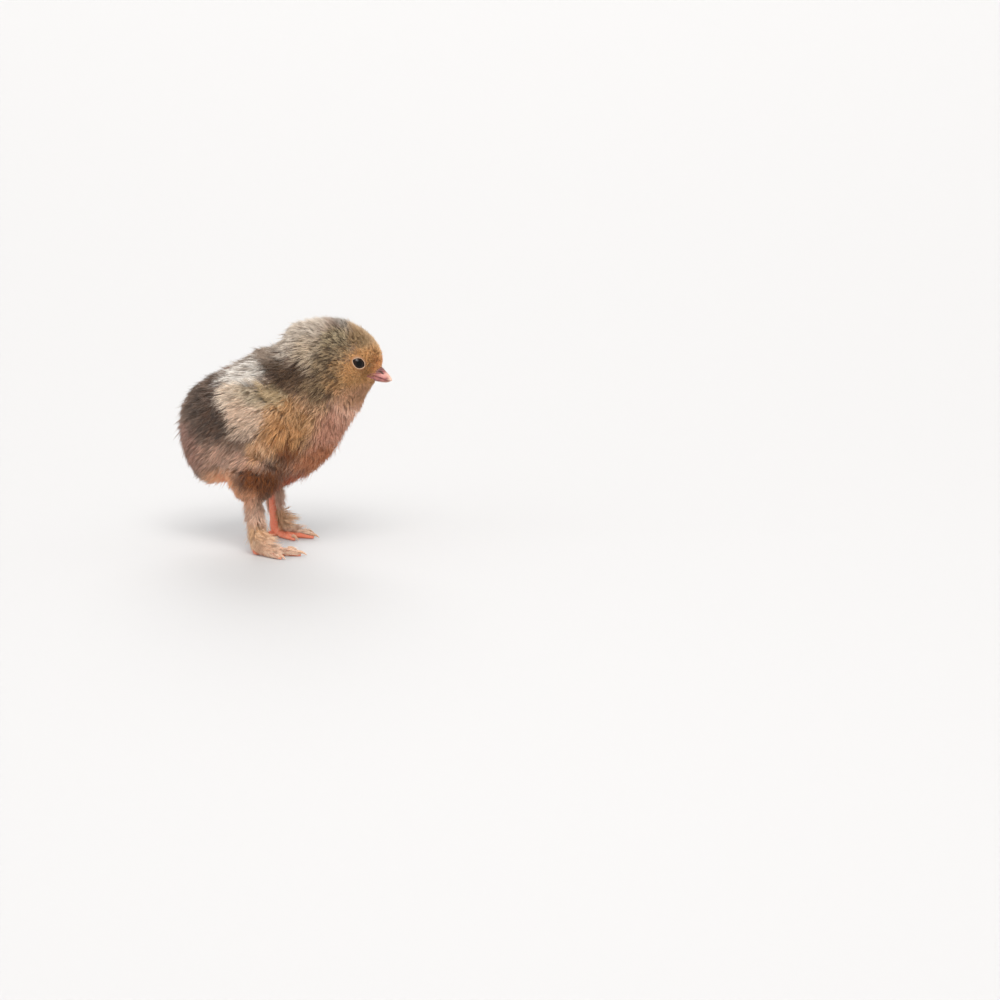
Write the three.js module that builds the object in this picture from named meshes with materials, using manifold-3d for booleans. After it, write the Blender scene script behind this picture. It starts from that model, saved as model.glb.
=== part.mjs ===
// A domestic chick a few days old, of a breed with feathered feet, standing still.
// Millimetres, +Z up. The chick faces +X and its left side is +Y.
// It is shaped about the point on the floor midway between its feet. Each node is then
// shifted, so that the origin is on the floor under the middle of the whole chick.
// The soft nodes reach out to the tips of the down. Neighbours keep a thin gap between them.
import * as THREE from "three";
import { mergeVertices } from "three/addons/utils/BufferGeometryUtils.js";
import Module from "manifold-3d";

const wasm = await Module();
wasm.setup();

// ---------------------------------------------------------------- driving sizes
const gap = 0.3; // between neighbouring nodes
const middleAhead = 8.1; // from between the feet to the middle of the whole length
const middleAside = -1.4; // and to the middle of the whole width
const trunkLength = 61;
const trunkDepth = 48.5;
const trunkWidth = 43;
const trunkMiddle = new THREE.Vector3(-2.5, 0, 51);
const headMiddle = new THREE.Vector3(31, 1.2, 79.5);
const headWidth = 25.5;
const headTurn = 8; // degrees to its left
const eyeRadius = 4;
const beakLength = 10.7;
const hipOut = 14; // from the middle to each hip
const footOut = 18; // from the middle to each foot
const hockHeight = 24;
const shankRadius = 2;
const toeRadius = 1.3;
const toeSink = 0.2; // how far a toe's pads are pressed flat
const clawLength = 3.2;

const rad = THREE.MathUtils.degToRad;
const right = -1;
const left = 1;
const sideName = (side) => (side === right ? "right" : "left");

// ---------------------------------------------------------------- materials
function material(colour, roughness, metalness = 0) {
  return new THREE.MeshStandardMaterial({ color: colour, roughness, metalness });
}
const greyDown = material(0x8a7a6c, 0.95);
const creamDown = material(0xcdbda4, 0.95);
const goldDown = material(0xc49a66, 0.95);
const tawnyDown = material(0x7a5c3c, 0.95);
const legSkin = material(0xd08058, 0.6);
const beakHorn = material(0xbf8478, 0.45);
const clawHorn = material(0xc9a58a, 0.5);
const eyeBlack = material(0x100b09, 0.08);

// ---------------------------------------------------------------- soft forms
// A lump is an ellipsoid that tells how far outside it a point is, negative inside.
function lump(x, y, z, length, width, depth, pitch = 0, yaw = 0) {
  const middle = new THREE.Vector3(x, y, z);
  const half = new THREE.Vector3(length / 2, width / 2, depth / 2);
  const turn = new THREE.Quaternion()
    .setFromEuler(new THREE.Euler(0, rad(pitch), rad(yaw), "ZYX"))
    .invert();
  const local = new THREE.Vector3();
  const scaled = new THREE.Vector3();
  return (point) => {
    local.copy(point).sub(middle).applyQuaternion(turn).divide(half);
    const reach = local.length();
    scaled.copy(local).divide(half);
    return (reach * (reach - 1)) / Math.max(scaled.length(), 1e-9);
  };
}

// Joins lumps into one form, rounding the valleys between them over the given softness.
function blend(lumps, softness) {
  return (point) =>
    lumps
      .map((each) => each(point))
      .reduce((a, b) => {
        const near = Math.max(softness - Math.abs(a - b), 0) / softness;
        return Math.min(a, b) - (near * near * softness) / 4;
      });
}

// The point where a ray from inside a form leaves it, found by steps and then by halving.
function surfaceAlong(form, start, ray) {
  const point = new THREE.Vector3();
  const isInside = (distance) => form(point.copy(start).addScaledVector(ray, distance)) < 0;
  let far = 1;
  while (isInside(far)) far += 1;
  let near = far - 1;
  for (let halving = 0; halving < 18; halving++) {
    const between = (near + far) / 2;
    if (isInside(between)) near = between;
    else far = between;
  }
  return point.copy(start).addScaledVector(ray, far);
}

// A sphere's vertices, pushed out from the middle until they reach the form's surface.
// Stretch sets where the vertices crowd, so that a flat form is covered evenly.
function wrap(form, middle, stretch, detail) {
  const shape = new THREE.IcosahedronGeometry(1, detail);
  const places = shape.attributes.position;
  const ray = new THREE.Vector3();
  for (let i = 0; i < places.count; i++) {
    ray.fromBufferAttribute(places, i).multiply(stretch).normalize();
    const point = surfaceAlong(form, middle, ray);
    places.setXYZ(i, point.x, point.y, point.z);
  }
  return shape;
}

// ---------------------------------------------------------------- solids
function closed(geometry) {
  const bare = geometry.clone();
  bare.deleteAttribute("normal");
  bare.deleteAttribute("uv");
  return mergeVertices(bare, 1e-4);
}

function solid(geometry) {
  const merged = closed(geometry);
  const mesh = new wasm.Mesh({
    numProp: 3,
    vertProperties: new Float32Array(merged.attributes.position.array),
    triVerts: new Uint32Array(merged.index.array),
  });
  return new wasm.Manifold(mesh);
}

function geometryOf(manifold) {
  const { vertProperties, triVerts } = manifold.getMesh();
  const geometry = new THREE.BufferGeometry();
  geometry.setAttribute("position", new THREE.BufferAttribute(vertProperties, 3));
  geometry.setIndex(new THREE.BufferAttribute(triVerts, 1));
  geometry.computeVertexNormals();
  return geometry;
}

// The same form grown by the gap on all sides, for cutting room out of its neighbours.
function grown(manifold, by = gap) {
  const geometry = closed(geometryOf(manifold));
  geometry.computeVertexNormals();
  const { position, normal } = geometry.attributes;
  for (let i = 0; i < position.count; i++) {
    position.setXYZ(
      i,
      position.getX(i) + normal.getX(i) * by,
      position.getY(i) + normal.getY(i) * by,
      position.getZ(i) + normal.getZ(i) * by,
    );
  }
  return solid(geometry);
}

// Half of all space: what lies beyond a plane, on the side that its direction points to.
function beyond(plane, clearance = 0) {
  const size = 300;
  const box = new THREE.BoxGeometry(size, size, size);
  box.translate(0, 0, size / 2 + clearance);
  const upward = new THREE.Vector3(0, 0, 1);
  box.applyQuaternion(new THREE.Quaternion().setFromUnitVectors(upward, plane.normal));
  const { x, y, z } = plane.coplanarPoint(new THREE.Vector3());
  box.translate(x, y, z);
  return solid(box);
}

function planeAt(x, y, z, directionX, directionY, directionZ) {
  const normal = new THREE.Vector3(directionX, directionY, directionZ).normalize();
  return new THREE.Plane().setFromNormalAndCoplanarPoint(normal, new THREE.Vector3(x, y, z));
}

const flipped = (plane) => plane.clone().negate();
const floor = planeAt(0, 0, 0, 0, 0, 1);

const chick = new THREE.Group();
function addNode(name, manifold, look) {
  const geometry = geometryOf(manifold);
  geometry.translate(-middleAhead, -middleAside, 0);
  const mesh = new THREE.Mesh(geometry, look);
  mesh.name = name;
  chick.add(mesh);
}

// ---------------------------------------------------------------- head, neck, trunk and tail
const bodyForm = blend(
  [
    // trunk, then the rump with the fluff under the tail, then the belly
    lump(trunkMiddle.x, 0, trunkMiddle.z, trunkLength, trunkWidth, trunkDepth, 4),
    lump(-23.5, 0, 44.5, 22, 31, 39, -5),
    lump(4.5, 0, 43.5, 38.5, 35, 31.5, -38),
    // shoulders and breast
    lump(7.5, 0, 66, 37, 34, 28, 47),
    lump(19, 0, 57, 30.5, 33, 48.5, 27),
    // neck and throat
    lump(16.5, 0.2, 78, 25.5, 26, 29.5, -2),
    lump(30.5, 1, 65.5, 20, 19, 24.5, 12),
    // skull and face
    lump(27, 0.7, 79.5, 28, headWidth, 30, 3, headTurn),
    lump(36, 1.9, 78.5, 24, headWidth - 4.5, 22, 29, headTurn),
    // cheeks
    lump(31, 1.2, 73, 19, headWidth, 17, 0, headTurn),
  ],
  7,
);

const tailCut = planeAt(-24.5, 0, 56, -1, 0, 0.3);
const neckCut = planeAt(17, 0, 69, 0.66, 0, 0.75);
const headCut = planeAt(26, 0.7, 79.5, 0.75, 0.08, 0.66);

const evenly = new THREE.Vector3(1, 1, 1);
const wholeTrunk = solid(wrap(bodyForm, trunkMiddle, new THREE.Vector3(31, 22, 26), 6));
const wholeNeck = solid(wrap(bodyForm, new THREE.Vector3(21, 0.5, 74), evenly, 5));
const wholeHead = solid(wrap(bodyForm, headMiddle, evenly, 5));

const trunk = wholeTrunk
  .intersect(beyond(flipped(tailCut), gap / 2))
  .intersect(beyond(flipped(neckCut), gap / 2));
const tail = wholeTrunk.intersect(beyond(tailCut, gap / 2));
const neck = wholeNeck
  .intersect(beyond(neckCut, gap / 2))
  .intersect(beyond(flipped(headCut), gap / 2));
const headBlock = wholeHead
  .intersect(beyond(headCut, gap / 2))
  .intersect(beyond(neckCut, gap / 2));

// ---------------------------------------------------------------- places on the head
// On the head, forward, left and up are told from the middle of the head.
const headTurned = new THREE.Quaternion().setFromAxisAngle(new THREE.Vector3(0, 0, 1), rad(headTurn));
const headPose = new THREE.Matrix4().compose(headMiddle, headTurned, evenly);
const eyeForward = 6.9;
const eyeUp = -1.6;
const eyeBulge = 0.5; // how far the eye stands out of the down around it

function eye(side) {
  const start = new THREE.Vector3(eyeForward, 0, eyeUp).applyMatrix4(headPose);
  const outward = new THREE.Vector3(0, side, 0).applyQuaternion(headTurned);
  const middle = surfaceAlong(bodyForm, start, outward);
  middle.addScaledVector(outward, eyeBulge - eyeRadius);
  const ball = new THREE.SphereGeometry(eyeRadius, 16, 10);
  ball.rotateX(Math.PI / 2);
  ball.translate(middle.x, middle.y, middle.z);
  return solid(ball);
}

// A horn is a cone with a rounded point, along +X from its base, that droops towards the point.
function horn(length, halfWidth, halfHeight, droop, bluntness, sides, steps) {
  const profile = [new THREE.Vector2(0, 0)];
  for (let i = 0; i < steps; i++) {
    const along = i / steps;
    profile.push(new THREE.Vector2((1 - along ** bluntness) ** (1 / 1.3), along * length));
  }
  profile.push(new THREE.Vector2(0, length));
  const shape = new THREE.LatheGeometry(profile, sides);
  shape.rotateZ(-Math.PI / 2);
  const places = shape.attributes.position;
  for (let i = 0; i < places.count; i++) {
    const along = places.getX(i) / length;
    places.setY(i, places.getY(i) * halfHeight - droop * along * along);
    places.setZ(i, places.getZ(i) * halfWidth);
  }
  shape.rotateX(Math.PI / 2);
  return shape;
}

const mouthSlope = 12;
const mouth = new THREE.Plane(new THREE.Vector3(0, 0, 1), 0)
  .applyMatrix4(new THREE.Matrix4().makeRotationY(rad(mouthSlope)))
  .translate(new THREE.Vector3(17, 0, -9.7))
  .applyMatrix4(headPose);

function upperBeak() {
  const shape = horn(beakLength, 3.3, 4.9, 0.9, 1.9, 20, 7);
  shape.rotateY(rad(21));
  shape.translate(11, 0, -5.3);
  shape.applyMatrix4(headPose);
  return solid(shape).intersect(beyond(mouth, gap / 2));
}

function lowerBeak() {
  const shape = horn(beakLength - 1.7, 2.7, 2.3, 0, 2.4, 18, 6);
  shape.rotateY(rad(mouthSlope - 2));
  shape.translate(10.6, 0, -8.6);
  shape.applyMatrix4(headPose);
  return solid(shape).intersect(beyond(flipped(mouth), gap / 2));
}

const eyes = [right, left].map(eye);
const beaks = [upperBeak(), lowerBeak()];
const head = eyes.reduce((block, ball) => block.subtract(grown(ball)), headBlock);
const headRoom = grown(headBlock);

addNode("trunk", trunk, greyDown);
addNode("tail", tail, greyDown);
addNode("neck", neck, greyDown);
addNode("head", head, goldDown);
addNode("eye_right", eyes[0], eyeBlack);
addNode("eye_left", eyes[1], eyeBlack);
addNode("beak_upper", beaks[0].subtract(headRoom), beakHorn);
addNode("beak_lower", beaks[1].subtract(headRoom), beakHorn);

// ---------------------------------------------------------------- wings
const trunkRoom = grown(trunk);
const neckRoom = grown(neck);

function wing(side) {
  const form = blend(
    [
      lump(-2.5, side * 18.5, 59, 33, 11, 25, 34),
      lump(8.5, side * 18, 50.5, 18, 12, 27, 12),
    ],
    5,
  );
  const middle = new THREE.Vector3(1, side * 18.5, 56);
  const flap = solid(wrap(form, middle, new THREE.Vector3(17, 6, 16), 3));
  return flap.subtract(trunkRoom).subtract(neckRoom);
}

for (const side of [right, left]) {
  addNode(`wing_${sideName(side)}`, wing(side), creamDown);
}

// ---------------------------------------------------------------- legs
// Each foot stands at its own angle. Toes are named as seen from the chick.
const feet = {
  right: { x: 1, splay: -2, stretch: 1 },
  left: { x: -1.3, splay: -8, stretch: 0.95 },
};
const toes = [
  { name: "middle", turn: 0, length: 17.5, lift: 3.2, down: 0.35 },
  { name: "inner", turn: 31, length: 13.5, lift: 2.8, down: 0 },
  { name: "outer", turn: -34, length: 14, lift: 3.2, down: 0.6 },
  { name: "hind", turn: 122, length: 6, lift: 2.4, down: 0 },
];

// A round bar along a curve, with its radius told along the way. Both ends are closed.
function bar(curve, radiusAt, steps, sides) {
  const profile = [new THREE.Vector2(0, 0)];
  for (let i = 0; i <= steps; i++) {
    const along = i / steps;
    profile.push(new THREE.Vector2(radiusAt(along), along));
  }
  profile.push(new THREE.Vector2(0, 1));
  const shape = new THREE.LatheGeometry(profile, sides);
  const places = shape.attributes.position;
  const centre = new THREE.Vector3();
  const ahead = new THREE.Vector3();
  const across = new THREE.Vector3();
  const over = new THREE.Vector3();
  const reference = curve.getTangent(0.5).z ** 2 > 0.5 ? [-1, 0, 0] : [0, 0, 1];
  for (let i = 0; i < places.count; i++) {
    const along = places.getY(i);
    curve.getPoint(along, centre);
    curve.getTangent(along, ahead);
    over.set(...reference);
    across.crossVectors(over, ahead).normalize();
    over.crossVectors(ahead, across);
    centre.addScaledVector(across, places.getX(i)).addScaledVector(over, -places.getZ(i));
    places.setXYZ(i, centre.x, centre.y, centre.z);
  }
  return shape;
}

const roundEnd = (along) => Math.sqrt(Math.max(1 - (2 * along - 1) ** 8, 0.06));

function thigh(side) {
  const form = blend(
    [
      lump(-2.5, side * 13, 33, 25, 19, 21, 22),
      lump(-3, side * hipOut, 26.5, 12.5, 12, 12, 12),
    ],
    5,
  );
  const middle = new THREE.Vector3(-3, side * 13.5, 30);
  return solid(wrap(form, middle, new THREE.Vector3(1, 0.8, 1), 3));
}

// The shank leans out to the foot. Down hangs on its outer side like a boot, and lies forward
// over the outer toe.
function shank(side, foot) {
  const top = new THREE.Vector3(-1.7, side * hipOut, hockHeight);
  const bottom = new THREE.Vector3(foot.x, side * footOut, 2.4);
  const leg = bar(new THREE.LineCurve3(top, bottom), (along) => shankRadius * roundEnd(along), 4, 10);
  const boot = blend(
    [
      lump(-1.3, side * (hipOut + 2.6), 17, 6.8, 5.4, 14, 4),
      lump(0.8, side * (footOut + 1.2), 8.5, 6.4, 5.6, 13.5, 8),
    ],
    3,
  );
  const bootMiddle = new THREE.Vector3(-0.3, side * (footOut - 0.6), 12.5);
  const fringe = lump(6.2, side * (footOut + 2), 5, 15, 5.6, 6, 10, side * 16);
  const fringeMiddle = new THREE.Vector3(6.2, side * (footOut + 2), 5);
  return solid(leg)
    .add(solid(wrap(boot, bootMiddle, new THREE.Vector3(1, 0.8, 2), 2)))
    .add(solid(wrap(fringe, fringeMiddle, new THREE.Vector3(2.5, 1, 1), 2)));
}

function toeCurve(side, foot, toe) {
  const turn = rad(foot.splay + side * -toe.turn);
  const start = new THREE.Vector3(foot.x, side * footOut, 0);
  const ahead = new THREE.Vector3(Math.cos(turn), Math.sin(turn), 0);
  const length = toe.length * foot.stretch;
  const level = toeRadius + toe.down - toeSink;
  const at = (along, height) => start.clone().addScaledVector(ahead, along * length).setZ(height);
  return new THREE.CatmullRomCurve3([
    at(0.02, toe.lift),
    at(0.3, level + 0.6),
    at(0.55, level),
    at(0.8, level),
    at(1, toeRadius),
  ]);
}

// Three pads swell along a toe, and down thickens the toes that are feathered.
function toeSolid(curve, toe) {
  const radiusAt = (along) => {
    const pads = 1 + 0.08 * Math.cos(along * 6 * Math.PI);
    const taper = 1.08 - 0.22 * along;
    const feathered = toe.down * Math.sin(along * Math.PI);
    return (toeRadius * pads * taper + feathered) * roundEnd(along);
  };
  return solid(bar(curve, radiusAt, 8, 8)).intersect(beyond(floor));
}

function claw(curve) {
  const shape = horn(clawLength, 0.75, 0.85, 0.9, 1.5, 8, 3);
  const tip = curve.getPoint(1);
  const ahead = curve.getTangent(1);
  shape.rotateZ(Math.atan2(ahead.y, ahead.x));
  shape.translate(tip.x - ahead.x * 0.6, tip.y - ahead.y * 0.6, tip.z + 0.2);
  return solid(shape).intersect(beyond(floor, 0.1));
}

for (const side of [right, left]) {
  const name = sideName(side);
  const foot = feet[name];
  const upperLeg = thigh(side);
  const wingRoom = grown(wing(side));
  const lowerLeg = shank(side, foot).subtract(grown(upperLeg));
  addNode(`thigh_${name}`, upperLeg.subtract(trunkRoom).subtract(wingRoom), tawnyDown);
  addNode(`shank_${name}`, lowerLeg, legSkin);
  const taken = [grown(lowerLeg)];
  for (const toe of toes) {
    const curve = toeCurve(side, foot, toe);
    const whole = toeSolid(curve, toe);
    const cut = taken.reduce((rest, room) => rest.subtract(room), whole);
    const largest = cut.decompose().reduce((a, b) => (a.volume() > b.volume() ? a : b));
    addNode(`toe_${toe.name}_${name}`, largest, legSkin);
    addNode(`claw_${toe.name}_${name}`, claw(curve).subtract(grown(whole)), clawHorn);
    taken.push(grown(whole));
  }
}

export default chick;
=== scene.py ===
# %% [markdown]
# # A downy chick, a few days old
# A chick is a soft little animal: all that shows is down, apart from two eyes, a beak, the bare
# side of its legs, and its claws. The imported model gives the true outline, out to the tips of the
# down. This lesson puts one skin inside that outline, and then covers the skin with small solid
# strands of down that reach back out to it.
# Particle hair would be quicker to comb, but it doesn't survive an export. Solid strands do.

import math

import bmesh
import bpy
import numpy as np
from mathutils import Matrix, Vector, noise
from mathutils.bvhtree import BVHTree


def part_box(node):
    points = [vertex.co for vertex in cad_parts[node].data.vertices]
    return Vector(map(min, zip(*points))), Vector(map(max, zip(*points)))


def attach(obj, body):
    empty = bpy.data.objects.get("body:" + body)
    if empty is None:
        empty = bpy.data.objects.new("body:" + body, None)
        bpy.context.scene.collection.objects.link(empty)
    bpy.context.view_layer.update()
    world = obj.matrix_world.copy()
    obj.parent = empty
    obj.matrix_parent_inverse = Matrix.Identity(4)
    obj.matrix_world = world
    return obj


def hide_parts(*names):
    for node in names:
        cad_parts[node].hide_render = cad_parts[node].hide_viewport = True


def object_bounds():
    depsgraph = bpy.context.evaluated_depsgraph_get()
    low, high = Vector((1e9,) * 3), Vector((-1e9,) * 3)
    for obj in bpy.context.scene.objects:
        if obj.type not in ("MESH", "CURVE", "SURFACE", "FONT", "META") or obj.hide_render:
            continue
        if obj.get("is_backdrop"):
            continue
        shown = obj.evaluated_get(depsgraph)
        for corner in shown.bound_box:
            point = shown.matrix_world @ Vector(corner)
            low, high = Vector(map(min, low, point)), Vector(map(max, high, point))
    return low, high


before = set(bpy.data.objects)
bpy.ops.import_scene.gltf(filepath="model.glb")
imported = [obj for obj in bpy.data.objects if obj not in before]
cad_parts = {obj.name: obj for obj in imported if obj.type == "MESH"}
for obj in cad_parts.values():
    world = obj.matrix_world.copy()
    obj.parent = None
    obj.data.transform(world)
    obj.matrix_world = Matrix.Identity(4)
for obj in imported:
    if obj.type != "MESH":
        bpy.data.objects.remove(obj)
cad_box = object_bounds()
mm = 0.001
# Both sources of chance get a fixed start. Blender's noise would otherwise take its from the clock.
chance = np.random.default_rng(11)
noise.seed_set(11)
print("nodes in the packed model:", len(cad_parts))

# %% [markdown]
# ## Two ways of telling a place
# Down and markings are the same on both sides of a chick. So a place is told by how far forward,
# how far out from the middle, and how high it is. The head is turned a little, and has its own
# middle and its own forward direction, which come from where the two eyes sit.

# %% Places on the body and on the head
def middle_of(node):
    """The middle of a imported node's box."""
    low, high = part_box(node)
    return (np.array(low) + np.array(high)) / 2


body_plane = middle_of("trunk")[1]
eye_places = {"right": middle_of("eye_right"), "left": middle_of("eye_left")}
across_eyes = eye_places["left"] - eye_places["right"]
head_turn = math.atan2(-across_eyes[0], across_eyes[1])
head_ahead = np.array([math.cos(head_turn), math.sin(head_turn), 0])
head_left = np.array([-math.sin(head_turn), math.cos(head_turn), 0])
upward = np.array([0.0, 0.0, 1.0])
between_eyes = (eye_places["left"] + eye_places["right"]) / 2
head_middle = between_eyes - head_ahead * 6.9 * mm + upward * 1.6 * mm


def on_body(places):
    """Forward, out from the middle, and up, in millimetres."""
    return np.stack([places[:, 0], np.abs(places[:, 1] - body_plane), places[:, 2]], 1) / mm


def on_head(places):
    """The same on the head, from the middle of the head."""
    away = places - head_middle
    return np.stack([away @ head_ahead, np.abs(away @ head_left), away @ upward], 1) / mm


def from_head(forward, left, up):
    """A place told on the head, as a place in the model."""
    return head_middle + (head_ahead * forward + head_left * left + upward * up) * mm


print("the head turns", round(math.degrees(head_turn), 1), "degrees to its left")

# %% [markdown]
# ## Making and reading meshes
# Everything here is made as lists of places and faces. These helpers turn them into objects, and
# read them back.

# %% Mesh helpers
def make_object(name, places, *face_sets):
    """A smooth mesh object from places and any number of face lists."""
    mesh = bpy.data.meshes.new(name)
    mesh.vertices.add(len(places))
    mesh.vertices.foreach_set("co", np.asarray(places, np.float32).ravel())
    sides = np.concatenate([np.full(len(faces), np.shape(faces)[1]) for faces in face_sets])
    corners = np.concatenate([np.asarray(faces, np.int32).ravel() for faces in face_sets])
    mesh.loops.add(len(corners))
    mesh.loops.foreach_set("vertex_index", corners)
    mesh.polygons.add(len(sides))
    starts = np.concatenate([[0], np.cumsum(sides)[:-1]]).astype(np.int32)
    mesh.polygons.foreach_set("loop_start", starts)
    mesh.update(calc_edges=True)
    mesh.shade_smooth()
    made = bpy.data.objects.new(name, mesh)
    bpy.context.scene.collection.objects.link(made)
    return made


def places_of(obj):
    """Where the vertices are."""
    places = np.empty(len(obj.data.vertices) * 3, np.float32)
    obj.data.vertices.foreach_get("co", places)
    return places.reshape(-1, 3).astype(float)


def normals_of(obj):
    """Which way the surface faces at each vertex."""
    normals = np.empty(len(obj.data.vertices) * 3, np.float32)
    obj.data.vertex_normals.foreach_get("vector", normals)
    return normals.reshape(-1, 3).astype(float)


def move_to(obj, places):
    """Puts the vertices in new places."""
    obj.data.vertices.foreach_set("co", np.asarray(places, np.float32).ravel())
    obj.data.update()


def unit(vectors):
    """The same directions with length one."""
    return vectors / np.maximum(np.linalg.norm(vectors, axis=-1, keepdims=True), 1e-12)


def settle(obj, voxel, passes):
    """Remeshes into even squares, smooths, and keeps the result."""
    squares = obj.modifiers.new("Even squares", "REMESH")
    squares.mode = "VOXEL"
    squares.voxel_size = voxel
    relaxed = obj.modifiers.new("Relaxed", "SMOOTH")
    relaxed.factor = 0.5
    relaxed.iterations = passes
    seen = obj.evaluated_get(bpy.context.evaluated_depsgraph_get())
    made = bpy.data.meshes.new_from_object(seen)
    obj.modifiers.clear()
    obj.data = made
    obj.data.shade_smooth()


def put_away(obj):
    """Removes a helper object."""
    bpy.data.objects.remove(obj, do_unlink=True)


# %% [markdown]
# ## The outline of the down
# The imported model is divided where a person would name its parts, with thin gaps. Down has no such
# gaps. So copies of the soft parts are grown until they overlap, and a voxel remesh melts them
# into one closed form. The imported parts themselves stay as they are.

# %% Melt the soft parts together
soft_parts = ["trunk", "tail", "neck", "head"]
soft_parts += [f"{part}_{side}" for part in ("wing", "thigh") for side in ("right", "left")]
toe_names = ["middle", "inner", "outer", "hind"]
leg_parts = [f"shank_{side}" for side in ("right", "left")]
leg_parts += [f"toe_{toe}_{side}" for toe in toe_names for side in ("right", "left")]
eye_parts = ["eye_right", "eye_left"]


def melted(name, nodes, growth, voxel, passes):
    """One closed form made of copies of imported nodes."""
    together = bmesh.new()
    for node in nodes:
        part = bmesh.new()
        part.from_mesh(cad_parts[node].data)
        bmesh.ops.remove_doubles(part, verts=part.verts, dist=0.01 * mm)
        part.normal_update()
        for corner in part.verts:
            corner.co += corner.normal * growth
        grown = bpy.data.meshes.new(node + "_grown")
        part.to_mesh(grown)
        part.free()
        together.from_mesh(grown)
        bpy.data.meshes.remove(grown)
    mesh = bpy.data.meshes.new(name)
    together.to_mesh(mesh)
    together.free()
    made = bpy.data.objects.new(name, mesh)
    bpy.context.scene.collection.objects.link(made)
    settle(made, voxel, passes)
    return made


growth = 0.2 * mm
outline = melted("outline", soft_parts + leg_parts + eye_parts, growth, 0.6 * mm, 3)
body_skin = melted("body_skin", soft_parts + eye_parts, growth, 0.7 * mm, 6)
print("the skin starts with", len(body_skin.data.polygons), "squares")

# %% [markdown]
# The down is drawn in at the sides of the beak, so that the corners of the mouth show. Places
# there are moved towards the middle of the head, fading out round about. The outline is drawn in a
# little at the nape too, where the round head meets the back.

# %% Draw in the muzzle
def soft_step(value):
    """Goes smoothly from 0 to 1."""
    clipped = np.clip(value, 0, 1)
    return clipped * clipped * (3 - 2 * clipped)


def drawn_in(places):
    """The places, moved in beside the beak."""
    away = (places - head_middle) / mm
    forward, left, up = away @ head_ahead, away @ head_left, away @ upward
    far = np.hypot((forward - 15.5) / 5.5, (up + 8) / 4.5)
    weight = soft_step((1.25 - far) / 0.7)
    moved = places - head_left * (left * 0.42 * weight)[:, None] * mm
    ahead, out, high = on_body(places).T
    far = np.hypot((ahead + 2.5) / 7, (high - 83) / 7)
    weight = soft_step((1.25 - far) / 0.8) * soft_step((19 - out) / 10)
    return moved - unit(np.array([-0.45, 0, 0.9])) * (1.9 * weight)[:, None] * mm


for form in (outline, body_skin):
    move_to(form, drawn_in(places_of(form)))
outline_tree = BVHTree.FromObject(outline, bpy.context.evaluated_depsgraph_get())
put_away(outline)

# %% [markdown]
# ## How deep the down is
# Down is deep on the body, thinner on the head, and like velvet round the eyes and beak. A value
# that changes from place to place is told as a ground value and a few soft spots painted over it.
# The same helper later gives the length of the strands and how closely they stand.

# %% Soft spots
def spotted(places, ground, spots):
    """A value at each place: the ground value, with soft spots painted over it in order."""
    told = {"body": on_body(places), "head": on_head(places)}
    value = np.full(len(places), float(ground))
    for part, centre, reach, amount in spots:
        far = np.linalg.norm((told[part] - np.array(centre)) / np.array(reach), axis=1)
        weight = soft_step((1.3 - far) / 0.6)
        value += (amount - value) * weight
    return value


depth_spots = [
    ("body", (-8, 22, 56), (18, 7, 17), 2.7),
    ("body", (-10, 19, 29), (13, 12, 10), 2.8),
    ("body", (-10, 14, 21), (8, 8, 5), 1.4),
    ("head", (8, 0, -17), (11, 13, 8), 2.6),
    ("head", (0, 0, 4), (17, 17, 16), 2.8),
    ("head", (8, 7, -4), (12, 14, 13), 1.3),
    ("head", (7, 12, -1.6), (5, 5, 4.5), 0.8),
    ("head", (15, 0, -7), (5, 6, 5.5), 0.5),
]

# %% Sink the skin by the depth of the down
deepest = 4.2
surface = places_of(body_skin)
sunk = surface - normals_of(body_skin) * spotted(surface, deepest, depth_spots)[:, None] * mm
move_to(body_skin, sunk)
settle(body_skin, 0.6 * mm, 4)
print("body skin:", len(body_skin.data.polygons), "squares")

# %% [markdown]
# ## Legs and toes
# Under the boots of down a chick has scaly legs: a shank with a joint at each end, and toes with a
# pad under every toe bone. Tubes with a changing radius make each length, and a fine remesh melts
# them into one foot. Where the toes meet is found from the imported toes: all their middle lines
# start at one place.

# %% Where the legs are
def line_of(node):
    """The middle and the direction of a packed toe, seen from above."""
    places = places_of(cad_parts[node])[:, :2]
    centre = (places.min(0) + places.max(0)) / 2
    spread = places - places.mean(0)
    return centre, np.linalg.svd(spread, full_matrices=False)[2][0]


def meeting_place(side):
    """The place on the floor where the lines of three toes meet."""
    total = np.zeros((2, 2))
    weighted = np.zeros(2)
    for toe in toe_names[:3]:
        centre, along = line_of(f"toe_{toe}_{side}")
        aside = np.eye(2) - np.outer(along, along)
        total += aside
        weighted += aside @ centre
    return np.append(np.linalg.solve(total, weighted), 0)


def toe_run(side, toe, start):
    """A toe's direction from where the toes meet, and how far it reaches."""
    places = places_of(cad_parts[f"toe_{toe}_{side}"])
    away = (places - start)[:, :2]
    far = np.linalg.norm(away, axis=1)
    along = unit(away[far > far.max() - 0.8 * mm].mean(0))
    return np.append(along, 0), (away @ along).max()


feet = {}
for side in ("right", "left"):
    start = meeting_place(side)
    hip = middle_of(f"thigh_{side}")
    feet[side] = {
        "start": start,
        "hock": np.array([hip[0] + 0.9 * mm, hip[1], 24.5 * mm]),
        "toes": {toe: toe_run(side, toe, start) for toe in toe_names},
    }
    print(side, "toes meet at", np.round(start / mm, 1), "mm")

# %% Tubes
def ring_faces(rings, sides):
    """Squares between closed rings, and triangles that join the end rings to two last places."""
    turn = np.arange(sides)
    after = (turn + 1) % sides
    step = np.arange(rings - 1)[:, None] * sides
    squares = np.stack([step + turn, step + after, step + sides + after, step + sides + turn], -1)
    first, top = rings * sides, (rings - 1) * sides
    ends = [np.stack([np.full(sides, first), after, turn], 1)]
    ends.append(np.stack([np.full(sides, first + 1), top + turn, top + after], 1))
    return squares.reshape(-1, 4), np.vstack(ends)


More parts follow.
